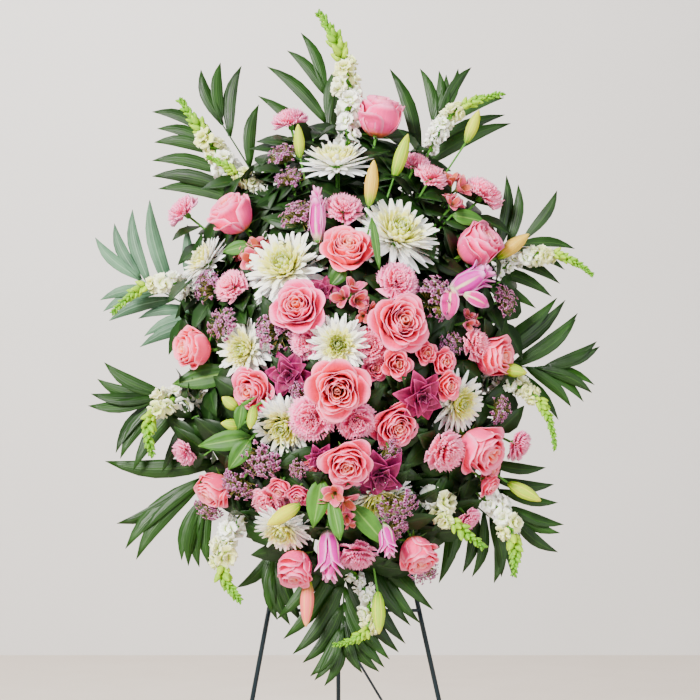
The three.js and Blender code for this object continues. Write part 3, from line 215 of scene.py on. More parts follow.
def finish_surface(tree, surface, base, height, depth, roughness):
    """Joins a colour, a bump height and a roughness to the surface shader."""
    bump = shader(tree, "ShaderNodeBump", {"Height": height, "Distance": depth, "Strength": 1.0})
    tree.links.new(bump.outputs["Normal"], surface.inputs["Normal"])
    tree.links.new(base, surface.inputs["Base Color"])
    tree.links.new(roughness, surface.inputs["Roughness"])


# Where a petal's colours meet: shares of the way from the flower's heart to its rim, from a petal's
# foot to its tip, and from its middle line to its side
HEART_END = 0.45
RIM_START = 0.4
FOOT_START = 0.02
SIDE_EDGE = 0.72
TIP_EDGE = 0.82
RIB_SIDES = (0.02, 0.22)
RIB_FADE = 0.3
# How much streaks and chance change a petal's brightness, hue and roughness
STREAK_SHADE = 0.36
CHANCE_SHADE = 0.1
LEAST_SHADE = 0.77
HUE_SPAN = 0.02
SATURATION = 1.08
STREAK_ROUGHNESS = 0.2
PETAL_ROUGHNESS = 0.42
STREAK_DEPTH = 0.6 * MM
# Light goes some way into a petal, furthest where it is red
PETAL_LIGHT = 0.2
PETAL_LIGHT_REACH = (4 * MM, 2 * MM, 1.5 * MM)
PETAL_SHEEN = 0.05
PETAL_SHINE = 0.28


def petal_material(name, colours, edge_share=0.5, foot_reach=0.35, lines=7.0, rib=""):
    """A petal's colour goes from the flower's heart out, from its foot up, and turns paler at its edge.
    Some petals have a midrib of their own colour, which fades towards the tip."""
    material, tree, surface = new_material(name)
    heart, middle, outer, foot, edge = (colour(text) for text in colours.split())
    ring, along, across = (attribute(tree, mark) for mark in ("ring", "along", "across"))
    tone, bloom = (attribute(tree, mark) for mark in ("tone", "bloom"))
    aside = math_node(tree, "ABSOLUTE", across)
    base = blend(tree, rise(tree, ring, 0.0, HEART_END), heart, middle)
    base = blend(tree, rise(tree, ring, RIM_START, 1.0), base, outer)
    base = blend(tree, opposite(tree, rise(tree, along, FOOT_START, foot_reach)), base, foot)
    sides = rise(tree, aside, SIDE_EDGE, 1.0)
    rim = math_node(tree, "MAXIMUM", sides, rise(tree, along, TIP_EDGE, 1.0))
    base = blend(tree, times(tree, rim, edge_share), base, edge)
    if rib:
        near = opposite(tree, rise(tree, aside, *RIB_SIDES))
        fade = opposite(tree, rise(tree, along, RIB_FADE, 1.0))
        base = blend(tree, times(tree, near, fade), base, colour(rib))
    streaks = place_group(tree, STREAKS, {"Across": across, "Along": along, "Tone": tone, "Lines": lines})
    chances = times(tree, plus(tree, tone, bloom), CHANCE_SHADE)
    value = plus(tree, plus(tree, times(tree, streaks, STREAK_SHADE), LEAST_SHADE), chances)
    hue = plus(tree, times(tree, bloom, HUE_SPAN), 0.5 - HUE_SPAN / 2)
    varied = shader(
        tree,
        "ShaderNodeHueSaturation",
        {"Hue": hue, "Saturation": SATURATION, "Value": value, "Color": base},
    )
    rough = plus(tree, times(tree, streaks, STREAK_ROUGHNESS), PETAL_ROUGHNESS)
    finish_surface(tree, surface, varied.outputs["Color"], streaks, STREAK_DEPTH, rough)
    surface.inputs["Subsurface Weight"].default_value = PETAL_LIGHT
    surface.inputs["Subsurface Radius"].default_value = PETAL_LIGHT_REACH
    surface.inputs["Subsurface Scale"].default_value = 1.0
    surface.inputs["Sheen Weight"].default_value = PETAL_SHEEN
    surface.inputs["Specular IOR Level"].default_value = PETAL_SHINE
    return material


# A leaf's midrib and veins, its dry tip, and the patches in its green
LEAF_PATCHES = 38.0
MIDRIB_SIDES = (0.03, 0.12)
MIDRIB_SHARE = 0.4
MIDRIB_DEPTH = 1.5
VEIN_START = 0.2
VEIN_SHARE = 0.15
VEIN_DEPTH = 0.08 * MM
DRY_TIP = 0.93
DRY_SHARE = 0.4
# How much patches change the roughness of leaves and of plain finishes, and how much both shine
LEAF_ROUGHNESS_SPAN = 0.15
GRAIN_ROUGHNESS_SPAN = 0.18
DULL_SHINE = 0.3


def leaf_material(name, colours, veins, roughness):
    """A leaf with a midrib, fine side veins, patches of a lighter green and a waxy surface."""
    material, tree, surface = new_material(name)
    dark, light, vein = (colour(text) for text in colours.split())
    along, across, tone = (attribute(tree, mark) for mark in ("along", "across", "tone"))
    patches = place_group(tree, MOTTLE, {"Scale": LEAF_PATCHES})
    base = blend(tree, times(tree, plus(tree, patches, tone), 0.5), dark, light)
    aside = math_node(tree, "ABSOLUTE", across)
    rib = opposite(tree, rise(tree, aside, *MIDRIB_SIDES))
    wave = math_node(tree, "SINE", times(tree, aside, veins))
    base = blend(tree, times(tree, rise(tree, wave, VEIN_START, 1.0), VEIN_SHARE), base, light)
    base = blend(tree, times(tree, rib, MIDRIB_SHARE), base, vein)
    base = blend(tree, times(tree, rise(tree, along, DRY_TIP, 1.0), DRY_SHARE), base, vein)
    relief = plus(tree, wave, times(tree, rib, -MIDRIB_DEPTH))
    rough = plus(tree, times(tree, patches, LEAF_ROUGHNESS_SPAN), roughness)
    finish_surface(tree, surface, base, relief, VEIN_DEPTH, rough)
    surface.inputs["Specular IOR Level"].default_value = DULL_SHINE
    return material


def grain_material(name, colours, scale, depth, roughness):
    """A plain solid finish whose patches and grain change its colour, height and gloss."""
    material, tree, surface = new_material(name)
    dark, light = (colour(text) for text in colours.split())
    patches = place_group(tree, MOTTLE, {"Scale": scale / 10})
    grain = place_group(tree, MOTTLE, {"Scale": scale})
    base = blend(tree, times(tree, plus(tree, patches, grain), 0.5), dark, light)
    rough = plus(tree, times(tree, patches, GRAIN_ROUGHNESS_SPAN), roughness)
    finish_surface(tree, surface, base, grain, depth, rough)
    surface.inputs["Specular IOR Level"].default_value = DULL_SHINE
    return material


# Petal colours are those at the flower's heart, half way out and at its rim, then at a petal's foot
# and edge; a leaf has a dark and a light green and a vein; other finishes have a dark and a light tone
MATERIALS = {
    "rose": petal_material("rose_petal", "f07a34 ea446c f45a86 f28a5c ffb4d0"),
    "spray_rose": petal_material("spray_rose_petal", "d84428 ea4c62 f86a88 ee966a ffb8c4"),
    "carnation": petal_material("carnation_petal", "ff4476 ff5a92 ff7aac f04474 ffbad4", 0.55, 0.5),
    "mum": petal_material("mum_petal", "aebc00 f0ec78 ffffff e6e8b8 ffffff", 0.3, 0.5, 4.0),
    "lily_pink": petal_material(
        "lily_pink_petal", "cc0c70 cc2c92 c42c92 e8eeb0 ffc4e8", 0.6, 0.28, 9.0, rib="f4e2b0"
    ),
    "lily_magenta": petal_material(
        "lily_magenta_petal", "34001a 58002a 74003c 28000e ff70b8", 0.3, rib="96004e"
    ),
    "alstroemeria": petal_material("alstroemeria_petal", "ba5e42 ba3450 cc5070 98a23e f4b0bc", 0.45, 0.3),
    "wax": petal_material("waxflower_petal", "300010 843868 c484ac 460622 f8dcec", 0.55, 0.5, 3.0),
    "snapdragon": petal_material("snapdragon_petal", "d2e04e eef0a4 fbfbf0 b4cc48 ffffff", 0.35, 0.5, 5.0),
    "lime": petal_material("lime_bud", "327a02 64a80a b2d040 246402 bcdc4c", 0.35, 0.5, 5.0),
    "lily_bud": petal_material("lily_bud", "88b802 c4cc14 e88474 5c9c1c e8d470", 0.5, 0.4, 6.0),
    "leaf": leaf_material("leaf_green", "10340a 447a1a 84ac4c", 14.0, 0.46),
    "fill_leaf": leaf_material("fill_leaf_green", "061802 143804 2a5010", 10.0, 0.46),
    "palm": leaf_material("palm_green", "081c02 1e4504 325a12", 18.0, 0.4),
    # Pale grey-green for the frond at the left: a painted reflection of the light on its glossy leaflets
    "palm_pale": leaf_material("palm_pale", "284a32 5a8262 84a488", 18.0, 0.42),
    "stem": grain_material("stem_green", "2a6416 559030", 300, 0.1 * MM, 0.5),
    "rib": grain_material("palm_rib", "0e260a 1f4614", 300, 0.1 * MM, 0.5),
    "twig": grain_material("wax_twig", "4c5a20 8a7a3a", 500, 0.1 * MM, 0.55),
    "anther": grain_material("anther_rust", "7a3418 b4622c", 900, 0.1 * MM, 0.7),
    "foam": grain_material("foam_grain", "1f4a2b 35683d", 900, 0.5 * MM, 0.85),
    "plastic": grain_material("tray_plastic", "1c3322 27442c", 500, 0.05 * MM, 0.42),
    "paint": grain_material("easel_paint", "011118 021a22", 400, 0.04 * MM, 0.5),
    "worn": grain_material("bracket_paint", "021418 06222a", 600, 0.06 * MM, 0.5),
}


# Modelling by hand: pick corners by their place, then move them
SAME_PLACE = 1e-4


def same(one, other):
    return abs(one - other) < SAME_PLACE


def deselect():
    bpy.ops.object.select_all(action="DESELECT")


def select_only(thing):
    deselect()
    thing.select_set(True)
    bpy.context.view_layer.objects.active = thing


def pick(thing, test):
    """Selects the corners of the mesh in edit mode whose place passes a test."""
    shape = bmesh.from_edit_mesh(thing.data)
    bpy.ops.mesh.select_all(action="DESELECT")
    for corner in shape.verts:
        corner.select_set(test(corner.co))
    shape.select_flush_mode()
    bmesh.update_edit_mesh(thing.data)


def settle_object(thing):
    """Puts the object's place, turn and size into its mesh."""
    select_only(thing)
    bpy.ops.object.transform_apply(location=True, rotation=True, scale=True)
    return thing


def apply_modifiers(thing):
    select_only(thing)
    for modifier in list(thing.modifiers):
        bpy.ops.object.modifier_apply(modifier=modifier.name)


def set_mark(mesh, name, values):
    mark = mesh.attributes.get(name) or mesh.attributes.new(name, "FLOAT", "POINT")
    if isinstance(values, (int, float)):
        values = [values] * len(mesh.vertices)
    mark.data.foreach_set("value", values)


def mark_from_map(mesh):
    """The sheet's map gives each corner its share along and across the petal."""
    along = [0.0] * len(mesh.vertices)
    across = [0.0] * len(mesh.vertices)
    for loop, place in zip(mesh.loops, mesh.uv_layers.active.data):
        along[loop.vertex_index] = place.uv[1]
        across[loop.vertex_index] = place.uv[0] * 2 - 1
    set_mark(mesh, "along", along)
    set_mark(mesh, "across", across)


def retire(thing):
    """A pattern piece is kept as a mesh only."""
    mesh = thing.data
    bpy.data.objects.remove(thing)
    return mesh


def curl_columns(thing, columns, wrap):
    """The columns of a sheet stand on an arc that wraps round its middle line."""
    half_wrap = math.radians(max(wrap, 1.0)) / 2
    arc = 0.5 / math.sin(min(half_wrap, math.pi / 2))
    for column in range(columns + 1):
        side = column / columns - 0.5
        angle = 2 * side * half_wrap
        pick(thing, lambda place: same(place.x, side))
        shift = (arc * math.sin(angle) - side, 0, arc * (1 - math.cos(angle)))
        bpy.ops.transform.translate(value=shift)


def sheet_pattern(name, material, widths, lifts, columns=4, wrap=0.0, ruffle=0.0, thick=0.012, bends=()):
    """A petal or leaf of length 1 along +Y whose inner face is up. Each row of its grid gets its
    width, its lift and its bend to one side."""
    rows = len(widths) - 1
    deselect()
    bpy.ops.mesh.primitive_grid_add(
        x_subdivisions=columns, y_subdivisions=rows, size=1, location=(0, 0.5, 0)
    )
    thing = settle_object(bpy.context.object)
    thing.name = name
    bpy.ops.object.mode_set(mode="EDIT")
    bpy.ops.mesh.select_mode(type="VERT")
    curl_columns(thing, columns, wrap)
    for row, (width, lift) in enumerate(zip(widths, lifts)):
        up = row / rows
        pick(thing, lambda place: same(place.y, up))
        bpy.ops.transform.resize(value=(width, 1, width), center_override=(0, up, 0))
        bpy.ops.transform.translate(value=(bends[row] if bends else 0, 0, lift))
    if ruffle:
        ruffle_rim(thing, rows, ruffle)
    bpy.ops.object.mode_set(mode="OBJECT")
    mark_from_map(thing.data)
    wall = thing.modifiers.new("wall", "SOLIDIFY")
    wall.thickness = thick
    wall.offset = 0
    apply_modifiers(thing)
    bpy.ops.object.shade_smooth()
    thing.data.materials.append(MATERIALS[material])
    return retire(thing)


RUFFLE_BELOW = 0.55
NOTCH = 1.2


def corner_key(place):
    return tuple(round(part, 5) for part in place)


def ruffle_rim(thing, rows, ruffle):
    """The rim and the row below it wave up and down, and every second corner of the rim is a notch."""
    for row, share in ((rows, 1.0), (rows - 1, RUFFLE_BELOW)):
        wave = ruffle * share
        notch = wave * NOTCH if row == rows else 0
        for first, shift in enumerate(((0, 0, wave), (0, -notch, -wave))):
            mesh = bmesh.from_edit_mesh(thing.data)
            level = sorted((v for v in mesh.verts if same(v.co.y, row / rows)), key=lambda v: v.co.x)
            places = {corner_key(v.co) for v in level[first::2]}
            pick(thing, lambda place: corner_key(place) in places)
            bpy.ops.transform.translate(value=shift)


def turned_pattern(name, material, sides, rings, star=0.0):
    """A body turned round Z: a circle is extruded ring by ring; star draws in every second corner."""
    deselect()
    out, up = rings[0]
    bpy.ops.mesh.primitive_circle_add(vertices=sides, radius=out, location=(0, 0, up), fill_type="NGON")
    thing = settle_object(bpy.context.object)
    thing.name = name
    bpy.ops.object.mode_set(mode="EDIT")
    bpy.ops.mesh.select_all(action="SELECT")
    for next_out, next_up in rings[1:]:
        bpy.ops.mesh.extrude_region_move(TRANSFORM_OT_translate={"value": (0, 0, next_up - up)})
        scale = next_out / out
        bpy.ops.transform.resize(value=(scale, scale, 1), center_override=(0, 0, next_up))
        out, up = next_out, next_up
    if star:
        pick(thing, lambda place: corner_number(place, sides) % 2 == 1)
        bpy.ops.transform.resize(value=(1 - star, 1 - star, 1), center_override=(0, 0, 0))
    bpy.ops.mesh.select_all(action="SELECT")
    bpy.ops.mesh.normals_make_consistent(inside=False)
    bpy.ops.object.mode_set(mode="OBJECT")
    low = min(ring[1] for ring in rings)
    high = max(ring[1] for ring in rings)
    set_mark(thing.data, "along", [(v.co.z - low) / (high - low) for v in thing.data.vertices])
    bpy.ops.object.shade_smooth()
    thing.data.materials.append(MATERIALS[material])
    return retire(thing)


def corner_number(place, sides):
    """The number of a corner on its way round Z."""
    return round(math.atan2(place.y, place.x) / (math.tau / sides))


def copy_of(pattern, matrix, **marks):
    """A copy of a pattern with its own mesh, put in its place."""
    mesh = pattern.copy()
    mesh.transform(matrix)
    for name, value in marks.items():
        set_mark(mesh, name, value)
    thing = bpy.data.objects.new(pattern.name, mesh)
    bpy.context.scene.collection.objects.link(thing)
    return thing


def join(name, things):
    """Joins pieces into one mesh that keeps the finish of each."""
    whole = things[0]
    if len(things) > 1:
        with bpy.context.temp_override(
            active_object=whole,
            object=whole,
            selected_objects=things,
            selected_editable_objects=things,
        ):
            bpy.ops.object.join()
    whole.name = name
    whole.data.name = name
    return whole


def turn_about(axis, degrees):
    return Matrix.Rotation(math.radians(degrees), 4, axis)


def size_matrix(x, y, z):
    return Matrix.Diagonal((x, y, z, 1))


def upright(base, direction, spin=0.0, size=1.0):
    """Stands a shape that points along Z on a place, along a direction."""
    turn = Vector((0, 0, 1)).rotation_difference(direction) @ Quaternion((0, 0, 1), spin)
    return Matrix.LocRotScale(base, turn, Vector((size, size, size)))


# Petals and leaves that everything else is made of: finish, widths from foot to tip, lifts from foot
# to tip, and how the sheet is bent
SHEETS = {
    "rose_guard": (
        "rose",
        (0.45, 0.84, 1.04, 1.12, 1.02, 0.52),
        (0, -0.1, -0.13, -0.13, -0.2, -0.34),
        {"wrap": 75},
    ),
    "rose_cup": (
        "rose",
        (0.4, 0.86, 1.06, 1.08, 0.92, 0.4),
        (0, -0.15, -0.22, -0.2, -0.14, -0.2),
        {"wrap": 105},
    ),
    "rose_inner": (
        "rose",
        (0.5, 0.82, 0.96, 1.0, 0.96, 0.56),
        (0, -0.08, -0.1, -0.08, -0.08, -0.18),
        {"wrap": 120},
    ),
    "rose_core": (
        "rose",
        (0.8, 0.95, 1.0, 1.0, 0.97, 0.74),
        (0, -0.03, -0.04, -0.02, -0.01, -0.08),
        {"columns": 5, "wrap": 180},
    ),
    "carnation": (
        "carnation",
        (0.1, 0.3, 0.68, 1.0),
        (0, 0.01, 0.02, 0.04),
        {"columns": 8, "wrap": 30, "ruffle": 0.1},
    ),
    "mum_outer": (
        "mum",
        (0.5, 0.82, 1.0, 0.92, 0.3),
        (0, -0.03, -0.02, 0.03, 0.14),
        {"columns": 2, "wrap": 100, "thick": 0.02},
    ),
    "mum_inner": (
        "mum",
        (0.6, 0.9, 1.0, 0.9, 0.45),
        (0, -0.1, -0.12, 0.0, 0.26),
        {"columns": 2, "wrap": 120, "thick": 0.02},
    ),
    "lily_curl": (
        "lily_pink",
        (0.3, 0.72, 0.98, 1.0, 0.78, 0.12),
        (0, 0.14, 0.2, 0.16, 0.02, -0.2),
        {"wrap": 60},
    ),
    "lily_closed": (
        "lily_pink",
        (0.3, 0.66, 0.84, 0.8, 0.6, 0.16),
        (0, -0.14, -0.22, -0.16, -0.1, -0.26),
        {"wrap": 110},
    ),
    "lily_double": (
        "lily_magenta",
        (0.25, 0.6, 0.84, 0.82, 0.54, 0.04),
        (0, 0.06, 0.1, 0.08, -0.02, -0.24),
        {"wrap": 84},
    ),
    "alstroemeria": (
        "alstroemeria",
        (0.12, 0.26, 0.5, 0.66, 0.58, 0.2),
        (0, 0.02, 0.02, -0.02, -0.1, -0.22),
        {"wrap": 55},
    ),
    "frill": (
        "snapdragon",
        (0.3, 0.8, 1.05, 0.9),
        (0, 0.05, 0.02, -0.14),
        {"wrap": 70, "ruffle": 0.08, "thick": 0.015},
    ),
    "leaf": (
        "leaf",
        (0.12, 0.75, 1.0, 0.98, 0.8, 0.45, 0.03),
        (0, 0.03, 0.05, 0.05, 0.03, 0, -0.05),
        {"wrap": 50, "thick": 0.006},
    ),
    "fill_leaf": (
        "fill_leaf",
        (0.1, 0.85, 1.0, 0.6, 0.04),
        (0, 0.03, 0.03, 0.0, -0.08),
        {"columns": 2, "wrap": 60, "thick": 0.008},
    ),
    "sepal": (
        "leaf",
        (0.5, 0.6, 0.4, 0.05),
        (0, 0.0, -0.04, -0.14),
        {"columns": 2, "wrap": 50, "thick": 0.02},
    ),
}
# A palm leaflet sweeps to one side on its way to the tip
LEAFLET_WIDTHS = (0.26, 0.64, 0.9, 1.0, 1.0, 0.82, 0.48, 0.03)
LEAFLET_LIFTS = (0, 0.03, 0.04, 0.04, 0.02, -0.02, -0.08, -0.16)
LEAFLET_BENDS = (0, 0.12, 0.26, 0.36, 0.4, 0.36, 0.22, 0)
LEAFLET_WRAP = 74

# Turned bodies: finish, sides, rings of (radius, height), and how far every second corner is drawn in
BUD_SIDES = 12
TURNED = {
    "calyx": ("stem", 8, ((0.05, 0.0), (0.13, 0.03), (0.19, 0.14), (0.15, 0.26))),
    "tube": ("stem", 8, ((0.07, 0.0), (0.15, 0.06), (0.17, 0.4), (0.2, 0.5))),
    "cup": ("stem", 10, ((0.07, 0.0), (0.2, 0.05), (0.3, 0.18), (0.2, 0.28))),
    "wax": ("wax", 10, ((0.14, -0.4), (1.0, 0.05), (0.34, 0.0), (0.14, 0.2)), 0.45),
    "wax_bud": ("wax", 5, ((0.1, -0.5), (0.42, 0.0), (0.2, 0.5))),
    "throat": ("snapdragon", 7, ((0.12, 0.0), (0.3, 0.15), (0.42, 0.55), (0.3, 0.5))),
    "lime": ("lime", 6, ((0.08, 0.0), (0.27, 0.25), (0.3, 0.6), (0.18, 0.95), (0.04, 1.15))),
    "bud": (
        "lily_bud",
        BUD_SIDES,
        ((0.24, 0.0), (0.5, 0.07), (0.78, 0.22), (0.94, 0.42))
        + ((0.92, 0.56), (0.7, 0.76), (0.4, 0.9), (0.08, 1.0)),
        0.2,
    ),
    "anther": ("anther", 5, ((0.02, -0.5), (0.16, -0.2), (0.16, 0.2), (0.02, 0.5))),
    "rod": ("stem", 6, ((1.0, 0.0), (1.0, 1.0))),
    "rib": ("rib", 6, ((1.0, 0.0), (0.5, 1.0))),
    "wire": ("paint", 16, ((0.8, 0.0), (1.0, 0.002), (1.0, 0.998), (0.8, 1.0))),
    "ball": (
        "paint",
        16,
        ((0.38, -0.92), (0.71, -0.71), (0.92, -0.38), (1, 0), (0.92, 0.38), (0.71, 0.71), (0.38, 0.92)),
    ),
    "twig": ("twig", 4, ((1.0, 0.0), (0.6, 1.0))),
}


def make_patterns():
    made = {}
    for name, (finish, widths, lifts, bending) in SHEETS.items():
        made[name] = sheet_pattern(name, finish, widths, lifts, **bending)
    for side, sign in (("left", -1), ("right", 1)):
        made["leaflet_" + side] = sheet_pattern(
            "leaflet_" + side,
            "palm",
            LEAFLET_WIDTHS,
            LEAFLET_LIFTS,
            columns=2,
            wrap=LEAFLET_WRAP,
            thick=0.004,
            bends=[sign * bend for bend in LEAFLET_BENDS],
        )
    for name, shape in TURNED.items():
        made[name] = turned_pattern(name, *shape)
    return made


PATTERNS = make_patterns()
WAX_HEART = 0.7


def wax_rings():
    """The heart of a waxflower is dark and its petals are pale."""
    mesh = PATTERNS["wax"]
    outs = [math.hypot(v.co.x, v.co.y) for v in mesh.vertices]
    set_mark(mesh, "ring", [min(1.0, out / WAX_HEART) for out in outs])
    set_mark(mesh, "along", [min(1.0, out) for out in outs])


def bud_seams():
    """The six seams of a lily bud are its drawn-in corners."""
    mesh = PATTERNS["bud"]
    set_mark(mesh, "across", [float(corner_number(v.co, BUD_SIDES) % 2) for v in mesh.vertices])


wax_rings()
bud_seams()


# Flowers of radius 1: each layer is (petal, count, out, up, tilt, length, width, ring) round the Z axis
PETAL_SIZES = (0.93, 1.05)


def grow(name, layers, extras=(), sway=5.0, tilt_sway=4.0, twist=5.0):
    parts = []
    for petal, count, out, up, tilt, length, width, ring in layers:
        start = chance.uniform(0, 360)
        for i in range(count):
            angle = start + 360 * i / count + chance.uniform(-sway, sway)
            pitch = tilt + chance.uniform(-tilt_sway, tilt_sway)
            size = chance.uniform(*PETAL_SIZES)
            place = (
                turn_about("Z", angle)
                @ Matrix.Translation((0, out, up))
                @ turn_about("X", pitch)
                @ turn_about("Y", chance.uniform(-twist, twist))
                @ size_matrix(width * size, length * size, width * size)
            )
            parts.append(copy_of(PATTERNS[petal], place, ring=ring, tone=chance.random()))
    for pattern, place in extras:
        parts.append(copy_of(PATTERNS[pattern], place, tone=chance.random()))
    return retire(join(name, parts))


SEPALS = 5
SEPALS_OUT = 0.1


def sepals(up, tilt, length, width):
    made = []
    for i in range(SEPALS):
        stand = turn_about("Z", 360 * i / SEPALS) @ Matrix.Translation((0, SEPALS_OUT, up))
        place = stand @ turn_about("X", tilt)
        made.append(("sepal", place @ size_matrix(width, length, width)))
    return made


def rose_flower(i):
    """A high-centred rose: guard petals curl out, the rest stand in a tight spiral."""
    layers = [
        ("rose_guard", 3, 0.22, 0.05, 50, 0.96, 0.94, 1.0),
        ("rose_guard", 4, 0.24, 0.06, 61, 0.98, 0.96, 0.9),
        ("rose_inner", 4, 0.28, 0.08, 70, 0.98, 0.96, 0.78),
        ("rose_inner", 4, 0.3, 0.1, 77, 0.98, 0.84, 0.64),
        ("rose_core", 4, 0.38, 0.12, 84, 0.96, 0.72, 0.5),
        ("rose_core", 4, 0.31, 0.14, 86, 0.95, 0.58, 0.4),
        ("rose_core", 4, 0.24, 0.16, 88, 0.93, 0.46, 0.3),
        ("rose_core", 3, 0.17, 0.16, 90, 0.93, 0.36, 0.2),
        ("rose_core", 3, 0.11, 0.16, 91, 0.92, 0.25, 0.1),
        ("rose_core", 2, 0.05, 0.16, 91, 0.9, 0.15, 0.0),
    ]
    extras = [("calyx", size_matrix(1.3, 1.3, 0.9)), *sepals(0.06, -2, 0.5, 0.24)]
    return grow(f"rose_{i}", layers, extras, 9.0, 3.0)


def rose_cup_flower(i):
    """A rose that has only begun to open: its outer petals still close round the rest."""
    layers = [
        ("rose_guard", 2, 0.2, 0.03, 64, 0.94, 0.82, 1.0),
        ("rose_cup", 3, 0.2, 0.02, 72, 1.1, 1.0, 0.95),
        ("rose_cup", 4, 0.2, 0.04, 80, 1.12, 0.96, 0.8),
        ("rose_core", 4, 0.36, 0.12, 85, 1.04, 0.74, 0.6),
        ("rose_core", 4, 0.27, 0.14, 87, 1.04, 0.56, 0.42),
        ("rose_core", 3, 0.18, 0.16, 89, 1.02, 0.38, 0.22),
        ("rose_core", 2, 0.07, 0.16, 90, 1.0, 0.2, 0.0),
    ]
    extras = [("calyx", size_matrix(1.3, 1.3, 0.9)), *sepals(0.06, -2, 0.5, 0.24)]
    return grow(f"rose_cup_{i}", layers, extras, 9.0, 3.0)


def spray_rose_flower(i):
    layers = [
        ("rose_guard", 5, 0.24, 0.08, 56, 1.1, 0.94, 1.0),
        ("rose_inner", 4, 0.32, 0.1, 70, 1.1, 1.0, 0.75),
        ("rose_core", 4, 0.4, 0.14, 82, 1.08, 0.76, 0.55),
        ("rose_core", 4, 0.3, 0.16, 86, 1.08, 0.56, 0.35),
        ("rose_core", 3, 0.19, 0.18, 89, 1.06, 0.38, 0.18),
        ("rose_core", 3, 0.09, 0.18, 90, 1.05, 0.2, 0.0),
    ]
    extras = [("calyx", size_matrix(1.5, 1.5, 1.0)), *sepals(0.08, 14, 0.7, 0.3)]
    return grow(f"spray_rose_{i}", layers, extras, 9.0)


def carnation_flower(i):
    """A dome of frilled and toothed petals on a green tube."""
    layers = [
        ("carnation", 9, 0.06, 0.32, 2, 0.96, 0.7, 1.0),
        ("carnation", 10, 0.06, 0.33, 16, 0.96, 0.66, 0.9),
        ("carnation", 10, 0.06, 0.34, 31, 0.94, 0.64, 0.8),
        ("carnation", 9, 0.05, 0.34, 46, 0.9, 0.6, 0.65),
        ("carnation", 8, 0.05, 0.34, 60, 0.86, 0.56, 0.5),
        ("carnation", 6, 0.04, 0.34, 74, 0.8, 0.52, 0.3),
        ("carnation", 4, 0.02, 0.34, 86, 0.76, 0.48, 0.1),
    ]
    return grow(f"carnation_{i}", layers, [("tube", Matrix())], 14.0, 7.0, 28.0)


def mum_flower(i):
    """Long open petals outside, and a dome of short petals that curl in over the green heart."""
    layers = [
        ("mum_outer", 22, 0.1, 0.14, -2, 0.96, 0.19, 1.0),
        ("mum_outer", 22, 0.1, 0.17, 11, 0.94, 0.18, 0.94),
        ("mum_outer", 20, 0.1, 0.2, 23, 0.88, 0.17, 0.86),
        ("mum_outer", 17, 0.1, 0.22, 34, 0.8, 0.17, 0.78),
        ("mum_inner", 15, 0.13, 0.24, 38, 0.6, 0.18, 0.5),
        ("mum_inner", 14, 0.13, 0.26, 50, 0.52, 0.17, 0.36),
        ("mum_inner", 13, 0.12, 0.28, 61, 0.46, 0.16, 0.24),
        ("mum_inner", 11, 0.1, 0.3, 72, 0.42, 0.14, 0.14),
        ("mum_inner", 9, 0.07, 0.3, 80, 0.4, 0.13, 0.05),
        ("mum_inner", 7, 0.03, 0.3, 86, 0.38, 0.12, 0.0),
        ("mum_inner", 3, 0.01, 0.3, 89, 0.34, 0.1, 0.0),
    ]
    return grow(f"mum_{i}", layers, [("cup", Matrix())], 8.0, 7.0, 16.0)


def stamens(count, tilt, length, anther, up=0.1):
    made = []
    for i in range(count):
        stand = turn_about("Z", 360 * i / count + 20) @ turn_about("X", tilt - 90)
        made.append(("twig", stand @ Matrix.Translation((0, 0, up)) @ size_matrix(0.016, 0.016, length)))
        head = Matrix.Translation((0, 0, up + length)) @ turn_about("X", 80)
        made.append(("anther", stand @ head @ size_matrix(anther * 0.4, anther * 0.4, anther)))
    return made


TULIP_HEIGHT = 3.6


def closed_lily_flower(i, open_tilt):
    """A bud that is just opening, TULIP_HEIGHT times as long as its radius."""
    long = TULIP_HEIGHT
    layers = [
        ("lily_closed", 3, 0.16, 0.0, 90 - open_tilt, long * 0.86, 1.6, 1.0),
        ("lily_closed", 3, 0.1, 0.05, 92 - open_tilt * 0.8, long * 0.9, 1.5, 0.8),
        ("lily_closed", 5, 0.1, 0.4, 92 - open_tilt * 0.5, long * 0.9, 1.1, 0.3),
    ]
    return grow(f"closed_lily_{i}", layers, [("calyx", size_matrix(1.6, 1.6, 0.8))], 5.0, 1.0, 3.0)


def double_lily_flower(i):
    layers = [
        ("lily_double", 6, 0.05, 0.05, 20, 1.06, 0.86, 1.0),
        ("lily_double", 5, 0.05, 0.1, 44, 0.94, 0.8, 0.8),
        ("lily_double", 4, 0.05, 0.14, 64, 0.8, 0.66, 0.5),
        ("lily_double", 4, 0.03, 0.16, 80, 0.66, 0.44, 0.2),
    ]
    return grow(f"double_lily_{i}", layers, [("calyx", size_matrix(0.8, 0.8, 0.9))], 9.0, 6.0, 12.0)


ALSTROEMERIA_LEAN = -34
ALSTROEMERIA_STALK = 0.35


def alstroemeria_flower(i):
    """Three flowers on short stalks that part from one another."""
    parts = []
    for turn in range(3):
        lean = turn_about("Z", 120 * turn + chance.uniform(-20, 20)) @ turn_about("X", ALSTROEMERIA_LEAN)
        layers = [
            ("alstroemeria", 3, 0.04, 0.0, 60, 0.8, 0.86, 1.0),
            ("alstroemeria", 3, 0.04, 0.04, 66, 0.78, 0.6, 0.2),
        ]
        flower = grow(f"alstroemeria_{i}_{turn}", layers, stamens(4, 76, 0.5, 0.07), 6.0, 8.0)
        parts.append(copy_of(flower, lean @ Matrix.Translation((0, 0, ALSTROEMERIA_STALK))))
        stalk = size_matrix(0.05, 0.05, ALSTROEMERIA_STALK + 0.03)
        parts.append(copy_of(PATTERNS["rod"], lean @ stalk))
    return retire(join(f"alstroemeria_{i}", parts))


